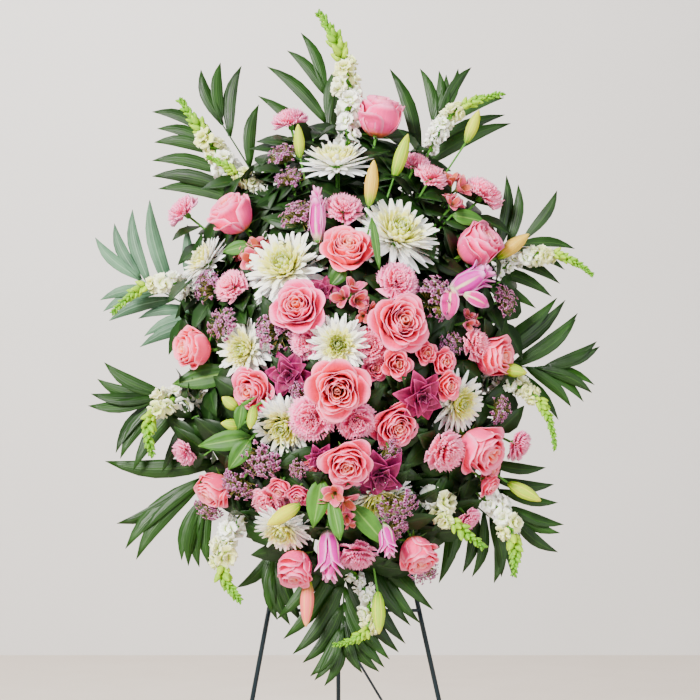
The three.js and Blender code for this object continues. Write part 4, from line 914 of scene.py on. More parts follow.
def snap_floret(i):
    """Two lips of frilled petals on a short throat."""
    layers = [
        ("frill", 3, 0.2, 0.5, 74, 0.6, 0.72, 1.0),
        ("frill", 5, 0.24, 0.5, 22, 0.55, 0.72, 0.9),
    ]
    extras = [("throat", size_matrix(0.95, 0.95, 1.0)), ("calyx", size_matrix(1.7, 1.7, 1.2))]
    return grow(f"floret_{i}", layers, extras, 20.0, 12.0, 16.0)


# Waxflower: florets and buds on twigs, which spread from a narrow foot to a low dome
WAX_FLORETS = 74
WAX_BUDS = 34
WAX_SPREAD = 0.95
WAX_LOW = 0.2
WAX_DOME = 0.65
WAX_FOOT = 0.35
WAX_TWIG = 0.02
WAX_SIZES = (0.1, 0.145)
WAX_BUD_SIZE = 0.065


def wax_flower(i):
    """A cloud of small flowers and buds, each on its own twig."""
    parts = []
    for number in range(WAX_FLORETS + WAX_BUDS):
        out = math.sqrt(chance.uniform(0.01, 1.0)) * WAX_SPREAD
        angle = chance.uniform(0, math.tau)
        up = WAX_LOW + WAX_DOME * (1 - out * out) + chance.uniform(-0.26, 0.2)
        tip = Vector((out * math.cos(angle), out * math.sin(angle), up))
        foot = Vector((tip.x * WAX_FOOT, tip.y * WAX_FOOT, chance.uniform(-0.1, 0.15)))
        way = (tip - foot).normalized()
        twig = size_matrix(WAX_TWIG, WAX_TWIG, (tip - foot).length)
        parts.append(("twig", upright(foot, way) @ twig))
        scatter = Vector([chance.uniform(-0.5, 0.5) for _ in range(3)])
        facing = (way + Vector((0, 0, 0.5)) + scatter).normalized()
        kind, size = ("wax_bud", WAX_BUD_SIZE)
        if number < WAX_FLORETS:
            kind, size = ("wax", chance.uniform(*WAX_SIZES))
        parts.append((kind, upright(tip, facing, chance.uniform(0, 6), size)))
    copies = [copy_of(PATTERNS[kind], place, tone=chance.random()) for kind, place in parts]
    return retire(join(f"wax_{i}", copies))


FLOWERS = {
    "rose": [rose_flower(i) for i in range(4)],
    "rose_cup": [rose_cup_flower(i) for i in range(3)],
    "spray_rose": [spray_rose_flower(i) for i in range(2)],
    "carnation": [carnation_flower(i) for i in range(3)],
    "mum": [mum_flower(i) for i in range(3)],
    "lily_magenta": [double_lily_flower(i) for i in range(2)],
    "alstroemeria": [alstroemeria_flower(i) for i in range(2)],
    "wax": [wax_flower(i) for i in range(3)],
}
FLORETS = [snap_floret(i) for i in range(3)]
OPENING_BUD = closed_lily_flower(0, 3)
TRUMPET = closed_lily_flower(1, 10)
# How much wider than its solid core each kind opens
SHOW = {
    "rose": 1.08,
    "rose_cup": 1.36,
    "spray_rose": 1.12,
    "carnation": 1.1,
    "mum": 1.08,
    "lily_magenta": 1.2,
    "alstroemeria": 1.5,
    "wax": 1.3,
}
# Height of a head as a share of its radius, and how high its middle corner is in the frame's solid
TALL = {
    "rose": (1.1, 0.98),
    "spray_rose": (1.25, 0.97),
    "carnation": (1.0, 0.86),
    "mum": (0.62, 0.8),
    "lily_pink": (0.9, 0.3),
    "lily_magenta": (0.9, 0.3),
    "alstroemeria": (1.1, 0.4),
    "wax": (0.95, 0.95),
}

# Where the heads stand: x, y and radius in pixels, extra depth in millimetres
BUNCHES = {
    "roses_top": ("rose", [(348, 251, 25, 12), (378, 124, 25, 6)]),
    "roses_upper_left": ("rose", [(299, 308, 26, 14), (237, 220, 23, 0), (199, 349, 20, 0)]),
    "roses_right": ("rose", [(400, 323, 28, 14), (472, 250, 24, 0), (487, 357, 22, 0)]),
    "roses_lower_right": ("rose", [(475, 445, 25, 0), (415, 548, 20, -4)]),
    "roses_centre": ("rose", [(338, 389, 28, 16), (395, 424, 24, 4), (347, 461, 24, 12)]),
    "roses_lower_left": ("rose", [(254, 390, 22, 8), (218, 485, 18, 0), (297, 562, 20, 0)]),
    "mums_top": ("mum", [(397, 236, 40, 0), (336, 163, 33, -4)]),
    "mums_left": ("mum", [(286, 268, 38, 2), (205, 262, 26, -6), (246, 350, 29, 0)]),
    "mums_right": ("mum", [(338, 345, 27, -2), (457, 402, 28, -4)]),
    "mums_bottom": ("mum", [(285, 425, 30, 0), (378, 497, 30, -4), (283, 528, 26, -2)]),
    "carnations_top": (
        "carnation",
        [(343, 210, 18, 8), (290, 122, 17, 0), (415, 165, 15, 4), (430, 178, 16, 8), (483, 195, 20, 0)],
    ),
    "carnations_left": ("carnation", [(232, 287, 16, 8), (184, 212, 17, 0), (185, 452, 13, -4)]),
    "carnations_centre": ("carnation", [(370, 346, 17, 0), (397, 283, 19, 2), (308, 342, 16, 4)]),
    "carnations_right": (
        "carnation",
        [(444, 451, 19, 6), (475, 345, 15, -6), (517, 445, 15, 0), (468, 518, 12, 0)],
    ),
    "carnations_lower": (
        "carnation",
        [(312, 418, 21, 12), (356, 420, 18, 4), (270, 500, 17, 0), (357, 553, 18, 0)],
    ),
    "spray_roses_right": (
        "spray_rose",
        [(396, 364, 13, 10), (393, 342, 12, 0), (375, 368, 11, -2)]
        + [(425, 353, 10, 4), (442, 362, 12, 8), (446, 385, 13, 16)],
    ),
    "spray_roses_lower_left": ("spray_rose", [(299, 493, 11, 6), (280, 487, 11, 6), (312, 467, 9, 4)]),
    "spray_roses_lower_right": ("spray_rose", [(488, 467, 12, 10), (488, 484, 11, 8)]),
    "lilies_pink_upper": ("lily_pink", [(465, 285, 26, 4)]),
    "lilies_magenta_upper": ("lily_magenta", [(324, 293, 15, 0), (290, 375, 20, 6)]),
    "lilies_magenta_lower": ("lily_magenta", [(380, 475, 22, 14), (421, 397, 20, 10), (320, 458, 12, 6)]),
    "alstroemeria_upper": ("alstroemeria", [(350, 297, 14, 2), (365, 312, 10, -2)]),
    "alstroemeria_left": ("alstroemeria", [(255, 258, 16, 8)]),
    "alstroemeria_right": ("alstroemeria", [(455, 188, 13, -4), (452, 205, 10, 0), (468, 322, 9, 0)]),
    "alstroemeria_lower": ("alstroemeria", [(337, 497, 14, 8), (345, 518, 9, 8)]),
    "waxflower_upper_left": ("wax", [(300, 215, 17, 2), (283, 155, 14, 0), (290, 178, 13, 0)]),
    "waxflower_left": (
        "wax",
        [(275, 332, 17, 4), (208, 285, 15, 0), (222, 325, 15, 0), (302, 392, 10, 4)],
    ),
    "waxflower_right": (
        "wax",
        [(437, 298, 18, 4), (505, 300, 14, 0), (450, 345, 12, -6), (500, 410, 12, 0)],
    ),
    "waxflower_lower_left": (
        "wax",
        [(260, 462, 17, 4), (238, 485, 15, 4), (208, 508, 13, 0), (300, 470, 9, 0)],
    ),
    "waxflower_lower_right": (
        "wax",
        [(398, 505, 16, 4), (390, 450, 10, 0), (392, 528, 13, 4), (425, 572, 13, 0)],
    ),
}

# Closed buds: foot x and y, tip x and y, half width in pixels, extra depth in millimetres
BUDS = {
    "lily_buds_top": [
        (394, 178, 408, 134, 8, 26),
        (369, 206, 374, 160, 8, 34),
        (300, 158, 298, 124, 6, 26),
        (466, 143, 479, 110, 7, 14),
    ],
    "lily_buds_right": [
        (500, 368, 527, 373, 7, 14),
        (497, 258, 529, 234, 8, 14),
        (508, 483, 541, 501, 8, 10),
    ],
    "lily_buds_bottom": [
        (300, 505, 267, 525, 8, 34),
        (378, 592, 379, 634, 8, 8),
        (308, 579, 306, 627, 8, 8),
    ],
    "alstroemeria_buds_left": [
        (241, 426, 221, 423, 6, 30),
        (238, 409, 222, 397, 6, 34),
        (254, 406, 250, 429, 6, 22),
    ],
    "lilies_pink_upper": [(318, 243, 317, 188, 12, 14)],
    "lilies_hanging": [(327, 528, 330, 583, 15, 6), (384, 524, 390, 558, 11, 24)],
}

# Snapdragon spikes: foot, middle and tip in pixels, half width in pixels, slope from the hub
SPIKES = {
    "snapdragons_top": [
        (((347, 150), (345, 70), (319, 14)), 15, 0.2),
        (((430, 150), (455, 112), (503, 94)), 11, 0.14),
    ],
    "snapdragons_upper_left": [
        (((243, 192), (212, 145), (180, 100)), 14, 0.1),
        (((288, 210), (245, 178), (208, 157)), 9, 0.2),
    ],
    "snapdragons_left": [
        (((198, 297), (155, 284), (113, 313)), 12, 0.12),
        (((224, 402), (160, 405), (152, 455)), 14, 0.2),
    ],
    "snapdragons_lower_left": [
        (((252, 506), (222, 555), (240, 600)), 14, 0.12),
        (((352, 572), (370, 622), (334, 645)), 10, 0.1),
    ],
    "snapdragons_lower_right": [
        (((417, 478), (444, 512), (482, 546)), 15, 0.26),
        (((484, 500), (510, 528), (514, 575)), 13, 0.14),
    ],
    "snapdragons_right": [
        (((472, 388), (530, 392), (555, 449)), 10, 0.2),
        (((492, 276), (545, 254), (592, 275)), 10, 0.14),
    ],
}

# Palm fronds: where the rib starts and ends, the leaflets' tips, the slope from the hub and how far
# a leaflet leans along the rib for each pixel that it reaches aside
FRONDS = {
    "palm_fronds_top": [
        (
            (337, 213),
            (326, 95),
            [(258, 95), (267, 66), (287, 50), (301, 32), (337, 67), (341, 86)],
            0.03,
            1.15,
        ),
        (
            (396, 217),
            (440, 114),
            [(390, 68), (420, 68), (439, 70), (446, 74), (458, 68)]
            + [(472, 67), (504, 97), (505, 114), (511, 123)],
            0.03,
            1.15,
        ),
    ],
    "palm_fronds_upper_left": [
        ((280, 216), (212, 108), [(201, 69), (221, 62), (241, 65), (259, 104)], 0.05, 1.15),
        (
            (245, 215),
            (205, 125),
            [(158, 188), (152, 176), (152, 160), (154, 142), (157, 128), (152, 111), (182, 112)],
            0.0,
            0.67,
        ),
    ],
    "palm_fronds_left": [
        (
            (230, 329),
            (141, 280),
            [(187, 224), (150, 199), (132, 209), (114, 223), (95, 237)]
            + [(100, 300), (103, 311), (109, 321), (138, 318), (144, 336), (140, 347)],
            0.02,
            0.9,
        ),
    ],
    "palm_fronds_lower_left": [
        (
            (267, 377),
            (160, 398),
            [(104, 362), (97, 379), (91, 393), (88, 405)]
            + [(115, 452), (120, 458), (133, 470), (162, 472)],
            0.06,
            1.2,
        ),
        ((270, 423), (205, 478), [(136, 559), (125, 548), (117, 524), (105, 461)], 0.01, 1.15),
        ((286, 408), (203, 498), [(181, 560), (189, 566), (199, 567), (209, 565)], 0.0, 1.15),
    ],
    "palm_fronds_bottom": [
        (
            (345, 501),
            (343, 640),
            [(434, 609), (420, 623), (411, 625), (406, 643), (399, 652), (390, 659)]
            + [(385, 667), (379, 672), (362, 673), (325, 686), (314, 680), (310, 676)]
            + [(303, 663), (293, 654), (284, 639), (277, 619)],
            0.04,
            1.5,
        ),
        (
            (307, 476),
            (272, 560),
            [(302, 622), (290, 625), (277, 620), (273, 614), (267, 600), (237, 588)],
            -0.01,
            1.15,
        ),
    ],
    "palm_fronds_lower_right": [
        (
            (408, 451),
            (503, 528),
            [(513, 577), (501, 577), (494, 583), (473, 577), (463, 573), (446, 568), (439, 583)],
            0.0,
            0.57,
        ),
        (
            (473, 433),
            (520, 536),
            [(546, 467), (554, 484), (558, 502), (564, 524), (560, 533), (558, 552)],
            0.04,
            0.5,
        ),
    ],
    "palm_fronds_right": [
        (
            (441, 363),
            (546, 368),
            [(557, 297), (566, 300), (578, 313), (576, 319), (597, 341), (600, 346)]
            + [(595, 384), (592, 393), (584, 401), (571, 407), (559, 419)],
            0.03,
            1.15,
        ),
        (
            (441, 287),
            (527, 238),
            [(507, 175), (518, 184), (557, 190), (575, 248)]
            + [(565, 269), (560, 283), (552, 296), (536, 308)],
            0.05,
            0.8,
        ),
    ],
}

# Broad leaves: foot x and y, tip x and y, half width in pixels, extra depth in millimetres, paleness
LEAVES = {
    "leaves_upper": [
        (345, 268, 330, 286, 8, 6, 0.3),
        (372, 218, 380, 272, 4, 34, 0.4),
        (250, 245, 222, 252, 7, 20, 0.4),
        (452, 215, 486, 222, 8, 4, 0.6),
    ],
    "leaves_lower": [
        (322, 478, 313, 528, 11, 22, 1.0),
        (340, 540, 330, 492, 7, 40, 0.9),
        (352, 505, 388, 547, 10, 16, 0.7),
        (405, 400, 425, 418, 7, -8, 0.2),
    ],
    "leaves_left": [
        (252, 437, 198, 446, 10, 16, 0.4),
        (250, 440, 228, 470, 9, 22, 0.45),
        (232, 372, 172, 384, 12, -8, 0.0),
        (242, 404, 238, 430, 6, 40, 0.7),
    ],
}


# Each head sits where its solid is in the frame, which may have sunk a little between its neighbours
def corners_of(node):
    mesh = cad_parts[node].data
    tree = kdtree.KDTree(len(mesh.vertices))
    for i, corner in enumerate(mesh.vertices):
        tree.insert(corner.co, i)
    tree.balance()
    return tree


def head_stand(kind, head, sink):
    x, y, pixels, extra = head
    radius = pixels * PIXEL
    height = radius * TALL[kind][0]
    centre = spot(x, y, dome_depth(x, y) + extra * MM - sink)
    axis = (centre - HUB + OUTWARD * FACING).normalized()
    base = centre - axis * height * 0.5
    return base, axis, radius, base + axis * height * TALL[kind][1]


def settled_head(kind, head, tree):
    """Loose petals reach forward again between the neighbours of a head that has sunk."""
    sinks = [step * SINK_STEP for step in range(int(SINK_LIMIT / SINK_STEP) + 1)]
    sunk = min(sinks, key=lambda sink: tree.find(head_stand(kind, head, sink)[3])[2])
    return head_stand(kind, head, sunk * SINK_SHOWN)


def settle_all():
    """Every bunch's heads in their places, worked out before any leaf is grown."""
    stands = {}
    for name, (kind, heads) in BUNCHES.items():
        tree = corners_of(name)
        stands[name] = [settled_head(kind, head, tree) for head in heads]
    return stands


STANDS = settle_all()
KEEP_CLEAR = 0.85


def covers_flower(place):
    """True where a leaf would hide a flower head from the front."""
    for heads in STANDS.values():
        for base, axis, radius, _ in heads:
            sight = base + axis * radius * 0.5 - EYE
            share = (place - EYE).dot(sight) / sight.length_squared
            if share < 1 and (place - EYE - sight * share).length < radius * KEEP_CLEAR:
                return True
    return False


def bud_stand(bud, sink):
    foot_x, foot_y, tip_x, tip_y, pixels, extra = bud
    depth = dome_depth((foot_x + tip_x) / 2, (foot_y + tip_y) / 2) + extra * MM - sink
    return spot(foot_x, foot_y, depth), spot(tip_x, tip_y, depth + pixels * PIXEL), pixels * PIXEL


def settled_bud(bud, tree):
    steps = range(int(SINK_LIMIT / SINK_STEP) + 1)
    ways = [bud_stand(bud, step * SINK_STEP) for step in steps]
    return min(ways, key=lambda way: tree.find(way[1])[2])


# Stems run from the foot of a flower into the foam, and leaves stand along them. A stem aims beside
# the hub by a share of how far its flower stands from it
AIM_ACROSS = {"reach": 0.28, "limit": 0.7, "share": 0.75}
AIM_ALONG = {"reach": 0.4, "limit": 0.8, "share": 0.8}


def aim_aside(offset, half, aim):
    return max(-aim["limit"], min(aim["limit"], offset / aim["reach"])) * half * aim["share"]


def foam_entry(start):
    """Where a stem that is aimed near the hub ends, a little way inside the foam."""
    aside = ACROSS * aim_aside(start.x - HUB.x, FOAM["width"] / 2, AIM_ACROSS)
    aim = HUB + aside + ALONG * aim_aside(start.z - HUB.z, FOAM["height"] / 2, AIM_ALONG)
    way = (start - aim).normalized()
    reach = []
    for axis, low, high in (
        (ACROSS, -FOAM["width"] / 2, FOAM["width"] / 2),
        (ALONG, -FOAM["height"] / 2, FOAM["height"] / 2),
        (OUTWARD, -FOAM["back"], FOAM["front"]),
    ):
        speed = way.dot(axis)
        if abs(speed) > 1e-6:
            limit = high if speed > 0 else low
            reach.append((limit - (aim - HUB).dot(axis)) / speed)
    return aim + way * (min(reach) - STEM_DEPTH)


def rod(start, end, radius, pattern="rod"):
    way = end - start
    stand = upright(start, way.normalized()) @ size_matrix(radius, radius, way.length)
    return copy_of(PATTERNS[pattern], stand, tone=chance.random())


def blade(pattern, foot, tip, width, facing, bloom=0.0):
    """Lays a leaf or petal pattern from foot to tip with its inner face towards a direction."""
    way = tip - foot
    side = way.cross(facing).normalized()
    face = side.cross(way).normalized()
    length = way.length
    turn = Matrix((side, way / length, face)).transposed().to_4x4()
    stand = Matrix.Translation(foot) @ turn @ size_matrix(width, length, min(width, length))
    return copy_of(PATTERNS[pattern], stand, tone=chance.random(), bloom=bloom)


# Leaves that fill the gaps: their size, where they leave a stem as shares of its length, and how
# often a leaf that would hide a flower is turned. Stems shorter than LEAFY_LENGTH stay bare
FILL_LENGTH = 62 * MM
FILL_WIDTH = 30 * MM
FILL_SHARES = (0.4, 0.5, 0.6, 0.68, 0.76, 0.83, 0.9)
FILL_SIZES = (0.75, 1.15)
FILL_AHEAD = 0.35
LEAFY_LENGTH = 60 * MM
LEAF_TRIES = 4
LEAF_MIDDLE = 0.6


def leaf_reach(way):
    """From a leaf's foot to its tip, to any side of the stem and a little ahead."""
    swing = Quaternion(way, chance.uniform(0, math.tau))
    side = swing @ way.orthogonal().normalized()
    return (side + way * FILL_AHEAD).normalized() * FILL_LENGTH * chance.uniform(*FILL_SIZES)


def hides_flower(foot, tip):
    return covers_flower(tip) or covers_flower(foot.lerp(tip, LEAF_MIDDLE))


def stem_with_leaves(start, leaves=True, radius=STEM_RADIUS, shares=FILL_SHARES):
    end = foam_entry(start)
    parts = [rod(start, end, radius)]
    if leaves and (start - end).length > LEAFY_LENGTH:
        way = (start - end).normalized()
        for share in shares:
            foot = end.lerp(start, share)
            tip = foot + leaf_reach(way)
            for _ in range(LEAF_TRIES):
                if not hides_flower(foot, tip):
                    parts.append(blade("fill_leaf", foot, tip, FILL_WIDTH, OUTWARD + way))
                    break
                tip = foot + leaf_reach(way)
    return parts


# Leafy twigs fill the gaps behind the flowers: rings of places as shares of the spray's oval
TWIG_RINGS = ((0.26, 8), (0.44, 14), (0.6, 20), (0.75, 26), (0.88, 36))
TWIG_SINK = 28 * MM
TWIG_SHARES = (0.62, 0.7, 0.77, 0.83, 0.88, 0.92, 0.96, 1.0)


def nearest_bunch(x, y):
    def gap(name):
        return min(math.hypot(head[0] - x, head[1] - y) for head in BUNCHES[name][1])

    return min(BUNCHES, key=gap)


def twig_places():
    """Each twig goes with the bunch whose nearest flower it stands behind."""
    places = {name: [] for name in BUNCHES}
    for share, count in TWIG_RINGS:
        for i in range(count):
            angle = math.tau * (i + chance.uniform(-0.3, 0.3)) / count
            x = SPRAY_CENTRE[0] + math.cos(angle) * SPRAY_HALF[0] * share
            y = SPRAY_CENTRE[1] + math.sin(angle) * SPRAY_HALF[1] * share
            places[nearest_bunch(x, y)].append(spot(x, y, dome_depth(x, y) - TWIG_SINK))
    return places


def place_piece(name, parts, nodes=None):
    piece = join(name, parts)
    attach(piece, MAIN_BODY)
    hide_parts(*(nodes or [name]))


RIM_SHARE = 0.62


def is_outer(head):
    """Heads near the rim of the spray are seen from the side."""
    across = (head[0] - SPRAY_CENTRE[0]) / SPRAY_HALF[0]
    along = (head[1] - SPRAY_CENTRE[1]) / SPRAY_HALF[1]
    return math.hypot(across, along) > RIM_SHARE


# The open lily is seen from its side: foot, mouth and half width in pixels. Each petal that curls
# back has its foot, tip and width in pixels, and how far forward it is in millimetres
SIDE_LILY = {"foot": (449, 293), "mouth": (493, 268), "half": 16}
SIDE_LILY_FORWARD = 8 * MM
SIDE_LILY_CURLS = [((451, 287), (448, 319), 18, 34), ((464, 294), (489, 306), 14, 14)]


def side_lily_parts(depth):
    foot = spot(*SIDE_LILY["foot"], depth)
    mouth = spot(*SIDE_LILY["mouth"], depth + SIDE_LILY_FORWARD)
    radius = SIDE_LILY["half"] * PIXEL
    size = size_matrix(radius, radius, (mouth - foot).length / TULIP_HEIGHT)
    parts = [copy_of(TRUMPET, upright(foot, (mouth - foot).normalized()) @ size)]
    for start, end, width, forward in SIDE_LILY_CURLS:
        level = depth + forward * MM
        petal = blade("lily_curl", spot(*start, level), spot(*end, level), width * PIXEL, OUTWARD)
        set_mark(petal.data, "ring", 0.1)
        parts.append(petal)
    return parts


# How far a stem reaches into a head and a bud, and how thin the stems of buds, leaves and twigs are
STEM_IN_HEAD = 0.1
STEM_IN_BUD = 0.05
THIN_STEM = STEM_RADIUS * 0.8
TWIG_STEM = STEM_RADIUS * 0.6


def flower_parts(name, kind, heads):
    parts = []
    for number, head in enumerate(heads):
        base, axis, radius, _ = STANDS[name][number]
        if kind == "lily_pink":
            parts.extend(side_lily_parts((base + axis * radius * 0.5 - HUB).dot(OUTWARD)))
            parts.extend(stem_with_leaves(base))
            continue
        form = "rose_cup" if kind == "rose" and is_outer(head) else kind
        flower = FLOWERS[form][(number + head[0]) % len(FLOWERS[form])]
        stand = upright(base, axis, chance.uniform(0, math.tau), radius * SHOW[form])
        parts.append(copy_of(flower, stand, bloom=chance.random()))
        parts.extend(stem_with_leaves(base + axis * STEM_IN_HEAD * radius))
    return parts


# How far each bud has turned from lime to peach
RIPENESS = {
    "lily_buds_top": (0.12, 0.66, 0.2, 0.25),
    "lily_buds_right": (0.1, 0.66, 0.15),
    "lily_buds_bottom": (0.4, 0.08, 1.0),
    "alstroemeria_buds_left": (0.05, 0.15, 0.1),
}


def bud_parts(buds, tree, opening=None, ripeness=()):
    """Closed lily buds from lime to peach, or lilies that are just opening."""
    parts = []
    for number, bud in enumerate(buds):
        foot, tip, radius = settled_bud(bud, tree)
        way = tip - foot
        stand = upright(foot, way.normalized(), chance.uniform(0, 3))
        if opening:
            size = size_matrix(radius, radius, way.length / TULIP_HEIGHT)
            parts.append(copy_of(opening, stand @ size, bloom=chance.random()))
        else:
            size = size_matrix(radius, radius, way.length)
            ripe = ripeness[number]
            parts.append(copy_of(PATTERNS["bud"], stand @ size, ring=ripe, tone=chance.random()))
        parts.extend(stem_with_leaves(foot + way * STEM_IN_BUD, leaves=False, radius=THIN_STEM))
    return parts


def make_flowers():
    twigs = twig_places()
    for name, (kind, heads) in BUNCHES.items():
        parts = flower_parts(name, kind, heads)
        for place in twigs[name]:
            parts.extend(stem_with_leaves(place, radius=TWIG_STEM, shares=TWIG_SHARES))
        if name in BUDS:
            parts.extend(bud_parts(BUDS[name], corners_of(name), OPENING_BUD))
        place_piece(name + "_petals", parts, [name])
    for name, buds in BUDS.items():
        if name not in BUNCHES:
            hanging = name == "lilies_hanging"
            parts = bud_parts(buds, corners_of(name), TRUMPET if hanging else None, RIPENESS.get(name))
            place_piece(name + "_closed", parts, [name])


# Snapdragons: white florets at the foot of the spike, yellower ones above, then lime buds to its tip
OPEN_SHARE = 0.56
WHITE_SHARE = 0.2
HALF_OPEN_SHARE = 0.76
HALF_OPEN_SIZE = 1.058
CLOSED_SIZE = 0.8464
GOLDEN_TURN = math.radians(137.5)
FLORET_SIZES = (0.66, 0.98)
FLORET_LEAN = 0.5
FLORET_STEP = 0.5
BUD_LEAN = 1.1
BUD_STEP = 0.17
CURVE_STEP = 0.02
SPIKE_RODS = 8


def curve_point(places, share):
    """A place on the curve through three places."""
    one, two, three = places
    start = one * ((1 - share) * (1 - 2 * share))
    middle = two * (4 * share * (1 - share))
    return start + middle + three * (share * (2 * share - 1))


def spike_floret(centre, side, ahead, share, size):
    """An open floret on its small green calyx."""
    way = (side + ahead * FLORET_LEAN).normalized()
    stand = upright(centre, way, chance.uniform(0, 6), size * 1.2)
    white = 1.0 - 0.75 * max(0.0, share - WHITE_SHARE) / (OPEN_SHARE - WHITE_SHARE)
    floret = copy_of(chance.choice(FLORETS), stand, ring=white, bloom=chance.random())
    calyx = upright(centre, (side * -0.6 + ahead).normalized(), 0, size * 0.55)
    return [floret, copy_of(PATTERNS["lime"], calyx, ring=0.3, tone=chance.random())]


def spike_bud(centre, side, ahead, share, size):
    way = (side + ahead * BUD_LEAN).normalized()
    stand = upright(centre, way, chance.uniform(0, 6), size * 1.05)
    return copy_of(PATTERNS["lime"], stand, ring=1.5 - 1.3 * share, tone=chance.random())


def spike_parts(line, width, slope):
    places = [spot(x, y, cone_depth(x, y, slope)) for x, y in line]
    length = sum((places[i + 1] - places[i]).length for i in range(2))
    parts = []
    share = 0.0
    number = 0
    while share < 1.0:
        centre = curve_point(places, share)
        after = curve_point(places, min(1, share + CURVE_STEP))
        ahead = (after - curve_point(places, share - CURVE_STEP)).normalized()
        taper = 0.26 + 0.74 * math.sin(math.pi * (0.26 + 0.66 * share))
        swing = Quaternion(ahead, number * GOLDEN_TURN + chance.uniform(-0.5, 0.5))
        side = swing @ ahead.orthogonal().normalized()
        size = width * PIXEL * taper * chance.uniform(*FLORET_SIZES)
        if share < OPEN_SHARE:
            parts.extend(spike_floret(centre, side, ahead, share, size))
            share += size * FLORET_STEP / length
        else:
            size *= HALF_OPEN_SIZE if share < HALF_OPEN_SHARE else CLOSED_SIZE
            parts.append(spike_bud(centre, side, ahead, share, size))
            share += size * BUD_STEP / length
        number += 1
    for i in range(SPIKE_RODS):
        start, end = (curve_point(places, (i + k) / SPIKE_RODS) for k in (0, 1))
        parts.append(rod(start, end, STEM_RADIUS * (1.3 - 0.08 * i)))
    parts.extend(stem_with_leaves(places[0]))
    return parts


def make_spikes():
    for name, spikes in SPIKES.items():
        parts = []
        for line, width, slope in spikes:
            parts.extend(spike_parts(line, width, slope))
        place_piece(name + "_florets", parts, [name])


# Palm fronds: leaflets leave both sides of the rib in order and reach the tips. A leaflet is at least
# LEAFLET_LENGTH pixels long, and its width is a share of its length and a little more
LEAFLET_LENGTH = 60
LEAFLET_SHARE = 0.075
LEAFLET_WIDTH = 8 * MM
LEAFLET_TURN = 0.3
BROAD = {
    "palm_fronds_bottom": 1.25,
    "palm_fronds_upper_left": 1.3,
    "palm_fronds_lower_left": 1.3,
    "palm_fronds_lower_right": 1.2,
    "palm_fronds_right": 1.15,
    "palm_fronds_top": 1.15,
    "palm_fronds_left": 1.2,
}


def frond_parts(root, crown, tips, slope, slant, broad):
    """A rib with a leaflet to each tip, on a cone round the spray."""

    def at(place):
        return spot(place[0], place[1], cone_depth(place[0], place[1], slope))

    start = Vector(root)
    way = Vector(crown) - start
    length = way.length
    way.normalize()
    parts = [rod(at(start), at(crown), STEM_RADIUS, "rib")]
    for tip in tips:
        reach = Vector(tip) - start
        ahead = reach.dot(way)
        beside = abs(reach.cross(way))
        back = max(beside * slant, math.sqrt(max(0, LEAFLET_LENGTH**2 - beside**2)))
        foot = start + way * max(0.0, min(length, ahead - back))
        long = (Vector(tip) - foot).length * PIXEL
        width = (LEAFLET_SHARE * long + LEAFLET_WIDTH) * broad
        facing = OUTWARD + Vector([chance.uniform(-LEAFLET_TURN, LEAFLET_TURN) for _ in range(3)])
        side = "left" if (Vector(tip) - foot).cross(way) < 0 else "right"
        parts.append(blade("leaflet_" + side, at(foot), at(tip), width, facing))
    parts.extend(stem_with_leaves(at(start), leaves=False))
    return parts


def paint_reflection(parts):
    """Gives a frond's leaflets and rib a paler grey-green: a painted reflection of the light on the glossy
    frond at the left.
    """
    for part in parts:
        if part.data.materials[0] in (MATERIALS["palm"], MATERIALS["rib"]):
            part.data.materials[0] = MATERIALS["palm_pale"]


def make_fronds():
    for name, fronds in FRONDS.items():
        pale = name == "palm_fronds_left"
        parts = []
        for root, crown, tips, slope, slant in fronds:
            parts.extend(frond_parts(root, crown, tips, slope, slant, BROAD[name]))
        # The frond at the left gets the painted reflection of the light in its colour
        if pale:
            paint_reflection(parts)
        place_piece(name + "_leaflets", parts, [name])


# The fern sprig is the leaf with this foot
FERN_FOOT = (405, 400)
FERN_PAIRS = 9
FERN_WIDE = 1.6
LEAF_DROOP = 6 * MM


def fern_parts(foot, tip, width):
    """A fern sprig: a thin rib with pairs of short leaflets that get smaller towards the tip."""
    parts = [rod(foot, tip, STEM_RADIUS * 0.3)]
    side = (tip - foot).cross(OUTWARD).normalized()
    for i in range(FERN_PAIRS):
        share = (i + 1) / (FERN_PAIRS + 1)
        start = foot.lerp(tip, share)
        for hand in (-1, 1):
            reach = side * hand * width * (1.05 - share) + (tip - foot) * 0.12
            parts.append(blade("leaf", start, start + reach, width * 0.3, OUTWARD))
    return parts


def make_leaves():
    for name, leaves in LEAVES.items():
        parts = []
        for foot_x, foot_y, tip_x, tip_y, half, extra, pale in leaves:
            level = dome_depth((foot_x + tip_x) / 2, (foot_y + tip_y) / 2) + extra * MM
            foot = spot(foot_x, foot_y, level)
            tip = spot(tip_x, tip_y, level - LEAF_DROOP)
            if (foot_x, foot_y) == FERN_FOOT:
                parts.extend(fern_parts(foot, tip, FERN_WIDE * half * PIXEL))
            else:
                parts.append(blade("leaf", foot, tip, 2 * half * PIXEL, OUTWARD))
                set_mark(parts[-1].data, "tone", pale)
            parts.extend(stem_with_leaves(foot, leaves=False, radius=THIN_STEM))
        place_piece(name + "_blades", parts, [name])


make_flowers()
make_spikes()
make_fronds()
make_leaves()


# Foam block: a soft-edged block in the tray
FOAM_EDGE = 4 * MM


def make_foam():
    deselect()
    depth = FOAM["front"] + FOAM["back"]
    middle = HUB + OUTWARD * (FOAM["front"] - FOAM["back"]) / 2
    bpy.ops.mesh.primitive_cube_add(size=1, location=middle, rotation=(-LEAN, 0, 0))
    block = bpy.context.object
    block.name = "foam_grain_block"
    block.scale = (FOAM["width"], depth, FOAM["height"])
    settle_object(block)
    soft = block.modifiers.new("soft_edges", "BEVEL")
    soft.width = FOAM_EDGE
    soft.segments = 3
    apply_modifiers(block)
    bpy.ops.object.shade_smooth_by_angle(angle=math.radians(40))
    block.data.materials.append(MATERIALS["foam"])
    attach(block, MAIN_BODY)
    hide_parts("foam_block")


make_foam()


